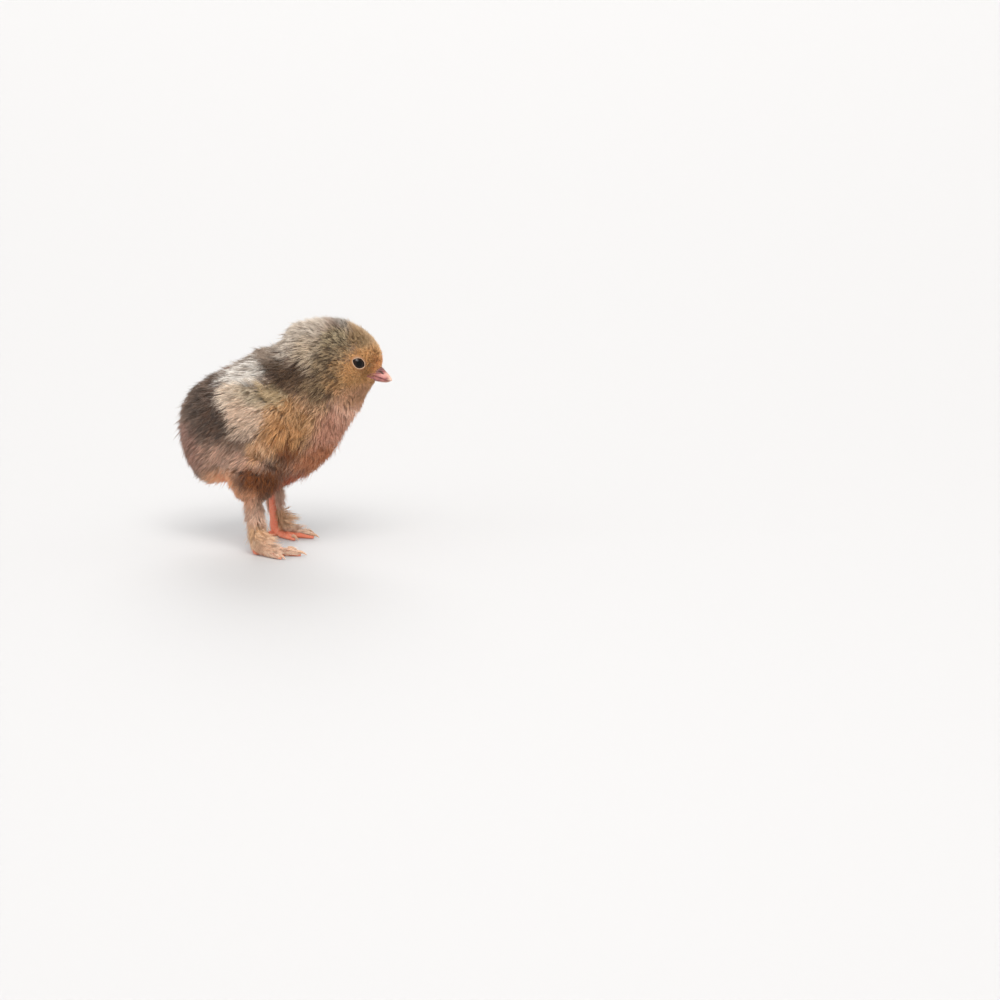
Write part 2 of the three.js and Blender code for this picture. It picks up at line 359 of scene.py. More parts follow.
def tube(path, radii, sides=18, flatness=1.0):
    """A closed tube along a path, as places, squares and end triangles."""
    path = np.asarray(path, float)
    ahead = unit(np.gradient(path, axis=0))
    reference = np.array([1.0, 0, 0]) if abs(ahead[:, 2]).mean() > 0.7 else upward
    aside = unit(np.cross(reference, ahead))
    over = np.cross(ahead, aside)
    around = np.linspace(0, 2 * math.pi, sides, endpoint=False)
    circle = np.cos(around)[:, None, None] * aside + np.sin(around)[:, None, None] * over * flatness
    rings = path + circle * np.asarray(radii)[None, :, None]
    rings = rings.transpose(1, 0, 2).reshape(-1, 3)
    return np.vstack([rings, path[0], path[-1]]), *ring_faces(len(path), sides)


def joined(shapes):
    """Several tubes as one list of places, squares and triangles."""
    counts = np.cumsum([0] + [len(shape[0]) for shape in shapes])
    places = np.vstack([shape[0] for shape in shapes])
    squares = np.vstack([shape[1] + count for shape, count in zip(shapes, counts)])
    ends = np.vstack([shape[2] + count for shape, count in zip(shapes, counts)])
    return places, squares, ends


# %% Shape a leg
shank_sizes = ([0, 0.12, 0.35, 0.7, 0.9, 1], [2.5, 2.1, 1.7, 1.75, 2.0, 1.7])


def shank_tube(foot):
    """From inside the thigh down to where the toes meet, with the bone's slight bow."""
    along = np.linspace(0, 1, 36)[:, None]
    path = foot["hock"] * (1 - along) + (foot["start"] + upward * 2.3 * mm) * along
    path[:, 0] -= 0.5 * mm * np.sin(along[:, 0] * math.pi)
    radii = np.interp(along[:, 0], *shank_sizes) * mm
    return tube(path, radii, 20)


def toe_tube(foot, toe):
    """A toe with three pads under it and a knuckle above each joint."""
    ahead, reach = foot["toes"][toe]
    along = np.linspace(0, 1, 44)
    pads = 2 if toe == "hind" else 3
    swell = 1 + 0.1 * np.cos(2 * math.pi * pads * along)
    radii = (1.5 - 0.45 * along) * swell * np.sqrt(np.clip(1.04 - along**9, 0.02, 1)) * mm
    height = radii * 0.86 + 1.9 * mm * np.exp(-((along / 0.17) ** 2))
    path = foot["start"] + ahead * (along * reach)[:, None] + upward * height[:, None]
    return tube(path, radii, 18, 0.94)


def sole_tube(foot):
    """The round pad under the place where the toes meet."""
    ahead = foot["toes"]["middle"][0]
    along = np.linspace(-1, 1, 20)
    radii = 2.1 * mm * np.sqrt(np.clip(1.02 - along**2, 0.01, 1))
    path = foot["start"] + ahead * (along * 2.3 * mm)[:, None] + upward * 1.45 * mm
    return tube(path, radii, 18, 0.8)


leg_shapes = []
for foot in feet.values():
    leg_shapes.append(shank_tube(foot))
    leg_shapes.append(sole_tube(foot))
    leg_shapes += [toe_tube(foot, toe) for toe in toe_names]
leg_skin = make_object("leg_skin", *joined(leg_shapes))
settle(leg_skin, 0.23 * mm, 5)
print("legs:", len(leg_skin.data.polygons), "squares")

# %% [markdown]
# ## Scales on the legs
# A bird's leg is plated: a row of wide plates down the front of the shank and along the top of
# each toe, each overlapping the next, and small round grains elsewhere. Each vertex is told how
# far along its bone it is and how much it faces the plated side. That lifts the edges of the
# plates a little here, and drives the finer relief in the leg's material.

# %% Plates
def bones_of(foot):
    """Start, end, plated side and plate length of each bone line of a leg."""
    start = foot["start"] + upward * 1.4 * mm
    bones = [(foot["hock"], start, np.array([1.0, 0, 0]), 1.35)]
    for ahead, reach in foot["toes"].values():
        bones.append((start, start + ahead * reach, upward, 0.95))
    return bones


def along_bones(places, normals):
    """How many plates along its bone a place is, how plated its side is, and the bone's number."""
    best = np.full(len(places), 1e9)
    told = np.zeros((len(places), 3))
    bones = [bone for foot in feet.values() for bone in bones_of(foot)]
    for number, (start, end, plated, length) in enumerate(bones):
        line = end - start
        share = np.clip((places - start) @ line / (line @ line), 0, 1)
        far = np.linalg.norm(places - start - share[:, None] * line, axis=1)
        near = far < best
        best[near] = far[near]
        told[near, 0] = share[near] * np.linalg.norm(line) / mm / length
        told[near, 1] = (normals @ plated)[near]
        told[near, 2] = number
    return told


surface = places_of(leg_skin)
facing = normals_of(leg_skin)
leg_told = along_bones(surface, facing)
plate_edge = (leg_told[:, 0] % 1) ** 2
plated_side = soft_step((leg_told[:, 1] - 0.1) / 0.5)
raised = surface + facing * (plate_edge * plated_side * 0.13 * mm)[:, None]
raised[:, 2] = np.maximum(raised[:, 2], 0.0)
move_to(leg_skin, raised)
print("lowest place on the feet:", round(raised[:, 2].min() / mm, 3), "mm")

# %% [markdown]
# ## One skin
# The body and the legs are joined into one object, which takes the place of every imported node of
# flesh.
# The legs run up inside the thighs, so no seam shows. Each vertex keeps its own place in an
# attribute named mark, which the markings read. The strands of down have the same attribute.

# %% Join the skin
def faces_of(obj):
    """The squares of a remeshed object."""
    corners = np.empty(len(obj.data.polygons) * 4, np.int32)
    obj.data.polygons.foreach_get("vertices", corners)
    return corners.reshape(-1, 4)


def add_attribute(obj, name, vectors):
    """Stores a vector for each vertex."""
    kept = obj.data.attributes.new(name, "FLOAT_VECTOR", "POINT")
    kept.data.foreach_set("vector", np.asarray(vectors, np.float32).ravel())


body_places, body_faces = places_of(body_skin), faces_of(body_skin)
leg_places, leg_faces = places_of(leg_skin), faces_of(leg_skin)
put_away(body_skin)
put_away(leg_skin)
skin_places = np.vstack([body_places, leg_places])
skin_faces = np.vstack([body_faces, leg_faces + len(body_places)])
skin = make_object("skin", skin_places, skin_faces)
add_attribute(skin, "mark", skin_places)
add_attribute(skin, "plates", np.vstack([np.zeros((len(body_places), 3)), leg_told]))
leg_material_index = np.zeros(len(skin_faces), np.int32)
leg_material_index[len(body_faces):] = 1
skin_normals = normals_of(skin)
print("skin:", len(skin_faces), "squares")

# %% [markdown]
# ## Unwrapping
# A baked picture of the markings needs a flat map of the skin. Smart projection cuts a rounded
# form into pieces that face about the same way and lays them side by side. That is enough here,
# because the markings come from places in space, and no seam has to line up.

# %% Lay a surface flat
def laid_flat(obj, map_name):
    """Unwraps an object and gives the map's corner places."""
    obj.data.uv_layers.new(name=map_name)
    bpy.context.view_layer.objects.active = obj
    obj.select_set(True)
    bpy.ops.object.mode_set(mode="EDIT")
    bpy.ops.mesh.select_all(action="SELECT")
    bpy.ops.uv.smart_project(angle_limit=math.radians(72), island_margin=0.004)
    bpy.ops.object.mode_set(mode="OBJECT")
    obj.select_set(False)
    corners = np.empty(len(obj.data.loops) * 2, np.float32)
    obj.data.uv_layers[map_name].data.foreach_get("uv", corners)
    return corners.reshape(-1, 2)


laid_flat(skin, "OFBake")

# %% [markdown]
# ## Eyes
# A chick's eye is a dark, wet ball that looks to the side. Only an almond of it shows, between
# two pale lids. The ball is a fine sphere with a slightly domed front. Its outward direction is
# square to the face, which is found from the nearest place on the outline of the down.

# %% Eyeballs
def ball(middle, outward, radius, dome, steps=48, sides=64):
    """A sphere whose pole points outward, with a domed front."""
    aside = unit(np.cross(upward, outward))
    over = np.cross(outward, aside)
    angle = np.linspace(0.02, math.pi - 0.02, steps)
    front = radius + dome * np.clip(1 - (angle / math.radians(29)) ** 2, 0, 1) ** 2
    around = np.linspace(0, 2 * math.pi, sides, endpoint=False)
    rings = (
        outward * (np.cos(angle) * front)[:, None, None]
        + aside * (np.sin(angle) * front)[:, None, None] * np.cos(around)[None, :, None]
        + over * (np.sin(angle) * front)[:, None, None] * np.sin(around)[None, :, None]
    )
    rings = middle + rings.reshape(-1, 3)
    places = np.vstack([rings, middle + outward * front[0], middle - outward * front[-1]])
    squares, ends = ring_faces(steps, sides)
    return places, squares[:, [0, 3, 2, 1]], ends[:, [0, 2, 1]]


eye_radius = (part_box("eye_right")[1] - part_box("eye_right")[0]).z / 2
eye_dome = 0.16 * mm
cheek_reach = 4.2
eyes = {}
for side, middle in eye_places.items():
    outside = 1 if side == "left" else -1
    probe = middle + head_left * outside * cheek_reach * mm
    normal = np.array(outline_tree.find_nearest(Vector(probe))[1])
    outward = unit(head_left * outside + head_ahead * 0.6 + upward * 0.1 + 0.3 * normal)
    eyeball = make_object(f"eyeball_{side}", *ball(middle, outward, eye_radius, eye_dome))
    add_attribute(eyeball, "mark", places_of(eyeball))
    eyes[side] = {"middle": middle, "outward": outward, "ball": eyeball}
    print(side, "eye looks along", np.round(outward, 2))

# %% [markdown]
# ## Eyelids
# The lids are one ring of soft skin round the almond. From its inner rim the ring rolls outward,
# dips into a crease, and runs under the down. It is drawn as rings of places on slightly larger
# and smaller spheres, so that it hugs the ball all round.

# %% Lids
almond_length, almond_height = 2.75, 2.0
lid_length, lid_height = 3.45, 2.75
eye_tilt = math.radians(27)
lid_profile = [(0.0, 0.0), (0.04, 0.14), (0.14, 0.26), (0.3, 0.3), (0.45, 0.24), (0.6, 0.28)]
lid_profile += [(0.85, 0.36), (1.0, 0.26), (1.12, 0.24), (1.4, 0.3), (1.75, 0.1)]


def eye_axes(side):
    """Forward and up as seen when looking straight at the eye, tilted down towards the beak."""
    outward = eyes[side]["outward"]
    level = unit(head_ahead - outward * (head_ahead @ outward))
    over = unit(upward - outward * (upward @ outward))
    over = unit(over - level * (over @ level))
    along = level * math.cos(eye_tilt) - over * math.sin(eye_tilt)
    return along, level * math.sin(eye_tilt) + over * math.cos(eye_tilt)


def lid_ring(side, sides=72):
    """The ring of lid skin round one eye."""
    along, over = eye_axes(side)
    outward, middle = eyes[side]["outward"], eyes[side]["middle"]
    around = np.linspace(0, 2 * math.pi, sides, endpoint=False)
    power = 2 / 1.6
    x = np.sign(np.cos(around)) * np.abs(np.cos(around)) ** power
    y = np.sign(np.sin(around)) * np.abs(np.sin(around)) ** power
    inner = np.stack([x * almond_length, y * almond_height], 1)
    outer = np.stack([np.cos(around) * lid_length, np.sin(around) * lid_height], 1)
    rings = []
    for share, rise in lid_profile:
        flat = inner + (outer - inner) * share
        size = eye_radius / mm + 0.04 + rise
        height = np.sqrt(np.maximum(size**2 - (flat**2).sum(1), 0.2))
        rings.append(along * flat[:, :1] + over * flat[:, 1:] + outward * height[:, None])
    return middle + np.array(rings) * mm


for side in eyes:
    rings = lid_ring(side)
    squares = ring_faces(*rings.shape[:2])[0]
    if side == "left":
        squares = squares[:, ::-1]
    lid = make_object(f"eyelid_{side}", rings.reshape(-1, 3), squares)
    across = (rings - eyes[side]["middle"]) @ eye_axes(side)[1] / mm
    share = np.repeat([told[0] for told in lid_profile], rings.shape[1])
    add_attribute(lid, "lid", np.stack([share, across.ravel(), share * 0], 1))
    finer = lid.modifiers.new("Finer", "SUBSURF")
    finer.levels = finer.render_levels = 1
    add_attribute(lid, "mark", rings.reshape(-1, 3))
    eyes[side]["lid"] = lid

# %% [markdown]
# ## Beak
# A chick's beak is short and deep: the upper half curves down over the lower, with a slit of a
# nostril on each side and pale horn at the point. Both halves are lofts. Each section is an arch
# between the cutting edge and the ridge, and both of those are curves along the beak. Behind, the
# edges widen into the soft corner of the mouth.

# %% Curves along the beak
def along_curve(points, count):
    """Evenly shared places on a smooth curve through a few points."""
    points = np.array(points, float)
    steps = np.linalg.norm(np.diff(points, axis=0), axis=1)
    told = np.concatenate([[0], np.cumsum(steps)]) / steps.sum()
    share = np.linspace(0, 1, count)
    lines = np.stack([np.interp(share, told, points[:, k]) for k in range(points.shape[1])], 1)
    for _ in range(count // 6):
        lines[1:-1] = (lines[:-2] + 2 * lines[1:-1] + lines[2:]) / 4
    return lines


cutting_edge = [(10.8, -6.9), (12.4, -7.5), (14.5, -8.1), (16, -8.7), (17.6, -9.4)]
cutting_edge += [(19.3, -10.0), (20.4, -10.4)]
ridge = [(10.8, -5.6), (13.5, -4.2), (16.0, -4.2), (17.2, -5.2), (18.2, -6.5), (19.4, -7.8)]
ridge += [(20.4, -9.0), (20.7, -10.2)]
keel = [(10.8, -9.0), (12.3, -9.8), (14.5, -10.5), (16.7, -10.9), (18.5, -11.0), (19.9, -10.6)]
half_widths = ([0, 0.2, 0.4, 0.65, 0.85, 1], [3.4, 3.3, 3.0, 2.3, 1.5, 0.4])


def loft(edge, crest, half_width, roundness, hollow):
    """Arched sections from one cutting edge over the crest to the other, closed underneath."""
    stations = len(edge)
    arch = np.linspace(-1, 1, 37) * math.pi / 2
    side = np.sin(arch)
    rise = np.cos(arch) ** roundness
    flat = np.linspace(1, -1, 9)[1:-1]
    sections = []
    for k in range(stations):
        outer = edge[k] + (crest[k] - edge[k]) * rise[:, None]
        inner = edge[k] + (crest[k] - edge[k]) * hollow * (1 - flat[:, None] ** 2)
        forward_up = np.vstack([outer, inner])
        lateral = np.concatenate([side, flat]) * half_width[k]
        sections.append(np.column_stack([forward_up[:, 0], lateral, forward_up[:, 1]]))
    return np.array(sections)


# %% [markdown]
# At the corners of the mouth the edges have to lie just outside the skin. How far out the skin is
# there is measured with rays shot in from the side.

# %% Fit the corners of the mouth
skin_tree = BVHTree.FromPolygons(body_places.tolist(), body_faces.tolist())


def skin_out_at(forward, up):
    """How far from the middle of the head its skin is, at a place told forward and up."""
    hit = skin_tree.ray_cast(Vector(from_head(forward, 30, up)), Vector(-head_left))[0]
    return 0.0 if hit is None else float((np.array(hit) - head_middle) @ head_left) / mm


stations = 64
edge = along_curve(cutting_edge, stations)
widths = np.interp(np.linspace(0, 1, stations), *half_widths)
fold = np.array([skin_out_at(x, z) + 0.35 for x, z in edge])
widths = np.where(edge[:, 0] < 15.5, np.maximum(widths, np.minimum(fold, 6.0)), widths)
for _ in range(4):
    widths[1:-1] = (widths[:-2] + 2 * widths[1:-1] + widths[2:]) / 4
print("half width at the corner of the mouth:", round(widths[6], 1), "mm")
upper_sections = loft(edge, along_curve(ridge, stations), widths, 0.8, 0.12)
lower_edge = along_curve([(x, z - 0.12) for x, z in cutting_edge[:-1]] + [(20.0, -10.35)], stations)
lower_sections = loft(lower_edge, along_curve(keel, stations), widths * 0.93 - 0.05, 0.6, 0.1)

# %% Nostrils
nostril_place, nostril_slope = np.array([16.5, -6.6]), math.radians(-38)


def with_nostrils(sections):
    """Sinks a slit on each side, and lifts the soft flap above it."""
    shaped = sections.copy()
    away = shaped[..., [0, 2]] - nostril_place
    run = away[..., 0] * math.cos(nostril_slope) + away[..., 1] * math.sin(nostril_slope)
    rise = -away[..., 0] * math.sin(nostril_slope) + away[..., 1] * math.cos(nostril_slope)
    slit = np.clip(1 - (run / 1.35) ** 2 - (rise / 0.45) ** 2, 0, 1) ** 0.5
    flap = np.exp(-((run / 1.6) ** 2) - ((rise - 0.85) / 0.5) ** 2)
    outer = np.abs(shaped[..., 1]) > 0.9
    shaped[..., 1] += np.sign(shaped[..., 1]) * outer * (0.16 * flap - 0.6 * slit)
    return shaped


def beak_half(name, sections):
    """Turns sections into a closed beak half on the head."""
    count, sides = sections.shape[:2]
    flat = sections.reshape(-1, 3)
    places = from_head(flat[:, :1], flat[:, 1:2], flat[:, 2:])
    ends_at = [places[:sides].mean(0), places[-sides:].mean(0)]
    made = make_object(name, np.vstack([places, ends_at]), *ring_faces(count, sides))
    shape = bmesh.new()
    shape.from_mesh(made.data)
    bmesh.ops.recalc_face_normals(shape, faces=shape.faces)
    shape.to_mesh(made.data)
    shape.free()
    add_attribute(made, "mark", places_of(made))
    return made


upper_beak = beak_half("upper_beak", with_nostrils(upper_sections))
lower_beak = beak_half("lower_beak", lower_sections)
print("beak reaches", round(places_of(upper_beak)[:, 0].max() / mm, 1), "mm forward")

# %% [markdown]
# ## Claws
# Each toe ends in a small, slightly hooked claw of pale horn. A tapered tube, a little taller than
# it is wide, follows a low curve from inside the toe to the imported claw's point.

# %% Claws
def claw_tube(side, toe):
    """One claw, from inside its toe to its point."""
    start = feet[side]["start"]
    places = places_of(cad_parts[f"claw_{toe}_{side}"])
    away = np.linalg.norm((places - start)[:, :2], axis=1)
    tip = places[away.argmax()]
    base = places[away < away.min() + 0.5 * mm].mean(0)
    ahead = unit((tip - base) * np.array([1, 1, 0]))
    inside = base - ahead * 1.1 * mm
    along = np.linspace(0, 1, 22)
    path = inside + (tip - inside) * along[:, None]
    path += upward * (0.5 * mm * np.sin(along * math.pi) ** 1.2)[:, None]
    radii = np.maximum(0.6 * (1 - along**1.9) ** 0.8, 0.05) * mm
    path[:, 2] = np.maximum(path[:, 2], radii * 1.15)
    return tube(path, radii, 16, 1.12)


claws = {}
for side in feet:
    shapes = [claw_tube(side, toe) for toe in toe_names]
    claws[side] = make_object(f"claws_{side}", *joined(shapes))
    add_attribute(claws[side], "mark", places_of(claws[side]))

# %% [markdown]
# ## Markings
# The colours of the down are patches: grey on the back, dark behind the shoulder and on the rump,
# cream and gold on the wing, an olive band behind the golden face. Each patch is a soft ellipsoid
# in space with a wavering edge, painted over the ones before it. One node group holds them all,
# and both the skin and the strands use it, so that they always agree.
# Each patch has two colours. Whole tufts take one or the other, which makes streaks.

# %% A colour as people see it
def tint(red, green, blue):
    """A colour told from 0 to 255, as the shader needs it."""
    told = np.array([red, green, blue]) / 255
    linear = np.where(told <= 0.04045, told / 12.92, ((told + 0.055) / 1.055) ** 2.4)
    return (*linear, 1.0)


# %% The patches of the coat
grey_ground = (tint(168, 140, 122), tint(128, 104, 90))
coat_marks = [
    # part, place, reach, softness, main colour, streak colour
    ("body", (-7, 0, 80), (17, 18, 9), 0.3, (156, 138, 122), (114, 97, 84)),
    ("body", (-31, 0, 60), (11, 30, 16), 0.4, (112, 90, 77), (52, 38, 30)),
    ("body", (-23, 19, 52), (10, 11, 9), 0.35, (106, 79, 63), (52, 36, 28)),
    ("body", (-41, 0, 45), (7, 30, 6), 0.5, (178, 136, 122), (134, 100, 89)),
    ("body", (-36, 0, 38), (10, 30, 8), 0.4, (184, 138, 120), (142, 106, 91)),
    ("body", (-17, 19, 38), (16, 10, 8), 0.4, (226, 184, 160), (162, 130, 111)),
    # A thin darker band just under the wing's lower edge: painted shadow of the wing on the flank.
    ("body", (-14, 20, 45.5), (8, 8, 2.5), 0.5, (150, 120, 100), (112, 86, 70)),
    # The vent, belly and breast patches below are partly the down's own pink and buff, and partly
    # painted reflection: a warm red cast of light bounced from below.
    ("body", (-24, 8, 26), (10, 20, 7), 0.4, (255, 202, 158), (255, 178, 134)),
    ("body", (-2, 0, 27), (20, 14, 8), 0.35, (216, 118, 82), (182, 90, 60)),
    ("body", (19, 0, 45), (18, 20, 22), 0.3, (224, 168, 142), (208, 152, 125)),
    ("body", (14, 0, 37), (13, 20, 7), 0.4, (208, 140, 100), (190, 122, 82)),
    ("body", (29, 0, 63), (9.5, 14, 11), 0.35, (252, 212, 188), (236, 187, 160)),
    ("body", (4, 20, 54), (13, 10, 16), 0.3, (220, 176, 130), (184, 136, 88)),
    ("body", (3, 21, 48), (9, 9, 7), 0.3, (220, 166, 112), (170, 114, 64)),
    ("body", (4, 17, 41), (4.5, 9, 4), 0.35, (160, 92, 46), (106, 56, 26)),
    ("body", (-6, 21, 43.5), (5.5, 8, 4.5), 0.3, (240, 196, 152), (184, 128, 82)),
    ("body", (-15, 22, 66), (10, 12, 9), 0.25, (244, 226, 206), (190, 169, 149)),
    ("body", (-11.5, 22, 57), (8, 12, 9.5), 0.25, (242, 214, 190), (196, 168, 144)),
    ("body", (-15, 12, 73), (13, 10, 7), 0.25, (248, 243, 236), (178, 166, 155)),
    ("body", (-8, 21, 66), (7.5, 10, 4.5), 0.5, (206, 189, 164), (148, 131, 109)),
    ("body", (-1, 20, 66), (6, 7, 5), 0.35, (210, 188, 152), (174, 148, 112)),
    ("body", (-6, 19, 29), (11, 11, 8), 0.3, (152, 86, 36), (104, 56, 22)),
    ("body", (-14, 17, 23), (6, 8, 4), 0.35, (244, 182, 142), (206, 148, 110)),
    ("body", (-8, 18, 14), (9, 9, 7), 0.3, (240, 204, 180), (214, 172, 148)),
    ("body", (-4, 20, 4), (18, 12, 7), 0.3, (240, 200, 158), (216, 168, 126)),
    ("body", (9, 20, 2), (16, 14, 5), 0.4, (250, 220, 196), (230, 190, 164)),
    ("head", (-16, 0, 9), (12, 17, 11), 0.3, (226, 214, 200), (172, 157, 142)),
    ("head", (-10, 9, 1), (10, 10, 8), 0.3, (218, 199, 175), (160, 141, 118)),
    ("body", (-1, 13, 76), (6, 8, 4), 0.3, (108, 88, 71), (76, 58, 44)),
    ("body", (4.5, 14, 72.5), (7, 8, 5.5), 0.25, (92, 66, 44), (58, 38, 24)),
    ("body", (11, 14, 69), (6, 8, 5), 0.3, (118, 92, 68), (78, 56, 38)),
    ("body", (16, 14, 63), (7, 8, 6), 0.35, (230, 188, 148), (158, 120, 90)),
    ("head", (3, 0, 14), (7, 8, 8), 0.3, (162, 152, 142), (92, 85, 78)),
    ("head", (-1, 11, 6), (7, 8, 9), 0.3, (188, 170, 138), (82, 66, 46)),
    ("head", (-4, 14, -4), (8, 9, 9), 0.3, (180, 155, 122), (80, 62, 44)),
    ("head", (-6, 13, -11), (8, 9, 6), 0.3, (166, 138, 104), (80, 60, 41)),
    ("head", (11, 0, 8), (10, 14, 7), 0.3, (198, 168, 134), (172, 142, 108)),
    ("head", (8.5, 0, -6), (14, 22, 12.5), 0.25, (222, 174, 118), (198, 148, 95)),
    ("head", (8, 6, 8.5), (5, 6, 4), 0.35, (166, 138, 101), (136, 108, 75)),
    ("head", (15, 0, -3.5), (4, 8, 3.5), 0.5, (230, 168, 112), (212, 146, 92)),
    ("head", (5, 0, -15), (12, 14, 6), 0.4, (220, 172, 136), (194, 147, 112)),
]

# %% [markdown]
# Any input of a node may be given a plain value or another node's socket, and one helper tells
# them apart. A mark is six nodes: the place is shifted and scaled so that the patch becomes a ball
# of size one, its distance from the middle is taken, the wavering is added, and a smooth step mixes
# the patch's two colours over what was there.

# %% Node helpers
def feed(node, values):
    """Sets a node's inputs, or links those that are given a socket."""
    for key, value in values.items():
        if isinstance(value, bpy.types.NodeSocket):
            node.id_data.links.new(value, node.inputs[key])
        else:
            node.inputs[key].default_value = value


def add_node(tree, kind, values=(), **settings):
    """A node with its settings and inputs."""
    node = tree.nodes.new(kind)
    for name, value in settings.items():
        setattr(node, name, value)
    feed(node, dict(values))
    return node


def mixed(tree, factor, first, second, blend="MIX"):
    """Mixes two colours."""
    values = {0: factor, 6: first, 7: second}
    return add_node(tree, "ShaderNodeMix", values, data_type="RGBA", blend_type=blend).outputs[2]


def reckoned(tree, operation, *numbers):
    """A sum on numbers."""
    node = add_node(tree, "ShaderNodeMath", dict(enumerate(numbers)), operation=operation)
    return node.outputs[0]


def times(tree, first, second):
    """The product of two numbers."""
    return reckoned(tree, "MULTIPLY", first, second)


def stepped(tree, value, low, high, start=0.0, end=1.0):
    """A smooth step of a value from low to high."""
    values = dict(enumerate((value, low, high, start, end)))
    return add_node(tree, "ShaderNodeMapRange", values, interpolation_type="SMOOTHSTEP").outputs[0]


def noised(tree, place, scale, detail=2.0):
    """A cloudy value."""
    values = {"Vector": place, "Scale": scale, "Detail": detail}
    return add_node(tree, "ShaderNodeTexNoise", values).outputs[0]


def parted(tree, vector):
    """The three numbers of a vector."""
    return tuple(add_node(tree, "ShaderNodeSeparateXYZ", {0: vector}).outputs)


def combined(tree, *numbers):
    """A vector of three numbers."""
    return add_node(tree, "ShaderNodeCombineXYZ", dict(enumerate(numbers))).outputs[0]


# %% Places inside a node group
def mapped(tree, place, middle, size, turn=0.0):
    """A place told from a middle, in units of a size, turned about the upright."""
    values = {"Vector": place, "Location": middle, "Rotation": (0, 0, turn), "Scale": size}
    return add_node(tree, "ShaderNodeMapping", values, vector_type="TEXTURE").outputs[0]


def folded(tree, place, middle, turn):
    """A place in millimetres from a middle, turned, and folded so that both sides are alike."""
    forward, out, up = parted(tree, mapped(tree, place, middle, (mm, mm, mm), turn))
    return combined(tree, forward, reckoned(tree, "ABSOLUTE", out), up)


# %% Build a group of marks
def marking_group(name, ground, marks, wavering):
    """A node group from place and tuft to colour."""
    tree = bpy.data.node_groups.new(name, "ShaderNodeTree")
    tree.interface.new_socket("Place", in_out="INPUT", socket_type="NodeSocketVector")
    tree.interface.new_socket("Tuft", in_out="INPUT", socket_type="NodeSocketFloat")
    tree.interface.new_socket("Colour", in_out="OUTPUT", socket_type="NodeSocketColor")
    inside = add_node(tree, "NodeGroupInput")
    outside = add_node(tree, "NodeGroupOutput")
    place = inside.outputs["Place"]
    told = {
        "body": folded(tree, place, (0, body_plane, 0), 0),
        "head": folded(tree, place, tuple(head_middle), head_turn),
    }
    tuft = reckoned(tree, "SUBTRACT", inside.outputs["Tuft"], 0.5)
    cloud = reckoned(tree, "SUBTRACT", noised(tree, place, 170, 3.0), 0.5)
    waver = reckoned(tree, "MULTIPLY_ADD", cloud, wavering, times(tree, tuft, wavering * 0.3))
    main, streak = ground
    for part, centre, reach, softness, main_colour, streak_colour in marks:
        scaled = mapped(tree, told[part], centre, reach)
        length = add_node(tree, "ShaderNodeVectorMath", {0: scaled}, operation="LENGTH")
        wavered = reckoned(tree, "ADD", length.outputs["Value"], waver)
        weight = stepped(tree, wavered, 1 - softness, 1 + softness, 1.0, 0.0)
        main = mixed(tree, weight, main, tint(*main_colour))
        streak = mixed(tree, weight, streak, tint(*streak_colour))
    grain = reckoned(tree, "MULTIPLY_ADD", tuft, 0.42, noised(tree, place, 620, 1.0))
    streaky = stepped(tree, grain, 0.4, 0.66)
    feed(outside, {0: mixed(tree, streaky, main, streak)})
    return tree


coat_markings = marking_group("Coat markings", grey_ground, coat_marks, 0.75)
print("coat markings:", len(coat_marks), "patches,", len(coat_markings.nodes), "nodes")

# %% [markdown]
# ## Finishes of the down and the skin
# Down scatters light so well that it looks matt, with a faint pale sheen where it turns away. A
# strand is darker at its root, where little light gets in, and paler at its tip, and no two
# strands are quite alike. The skin below takes the same markings, darker, as painted shade under the
# down, like the roots.

# %% Down and skin
def new_material(name):
    """A material with its shader."""
    made = bpy.data.materials.new(name)
    made.use_nodes = True
    return made, made.node_tree, made.node_tree.nodes["Principled BSDF"]


def reading(tree, name):
    """Reads a vector attribute."""
    return add_node(tree, "ShaderNodeAttribute", attribute_name=name).outputs["Vector"]


def marked(tree, group, tuft=0.5):
    """The colour from a group of marks."""
    values = {"Place": reading(tree, "mark"), "Tuft": tuft}
    node = add_node(tree, "ShaderNodeGroup", node_tree=group)
    feed(node, values)
    return node.outputs[0]


def relief_of(tree, height, distance, strength):
    """The bumps that a height makes, so many millimetres high."""
    values = {"Height": height, "Distance": distance * mm, "Strength": strength}
    return add_node(tree, "ShaderNodeBump", values).outputs[0]


def down_material():
    """Matt strands in the colours of the coat."""
    made, tree, shader = new_material("Down")
    along, tuft, own = parted(tree, reading(tree, "strand"))
    shade = reckoned(tree, "MULTIPLY_ADD", stepped(tree, along, 0.0, 0.8), 0.32, 0.8)
    shade = times(tree, shade, reckoned(tree, "MULTIPLY_ADD", own, 0.2, 0.9))
    grey = combined(tree, shade, shade, shade)
    feed(shader, {
        "Base Color": mixed(tree, 1.0, marked(tree, coat_markings, tuft), grey, "MULTIPLY"),
        "Roughness": 0.88,
        "Specular IOR Level": 0.18,
        "Sheen Weight": 0.22,
        "Sheen Roughness": 0.6,
        "Sheen Tint": tint(250, 240, 228),
    })
    return made


def skin_material():
    """The same markings, darker as painted shade under the down, and a little redder."""
    made, tree, shader = new_material("Skin under the down")
    # Painted shade: the skin under the down is darkened, as little light reaches it.
    shade_under_down = (0.8, 0.76, 0.74, 1)
    feed(shader, {
        "Base Color": mixed(tree, 1.0, marked(tree, coat_markings), shade_under_down, "MULTIPLY"),
        "Roughness": 0.85,
        "Specular IOR Level": 0.2,
        "Normal": relief_of(tree, noised(tree, reading(tree, "mark"), 1400), 0.12, 0.6),
    })
    return made


down_finish = down_material()
skin_finish = skin_material()

# %% [markdown]
# ## Finish of the legs
# Leg skin is orange-pink, paler on the edges of its plates and redder in the folds, with a soft
# satin gloss. The plates are drawn from how far along its bone a place is, and the grains between
# them are small cells.

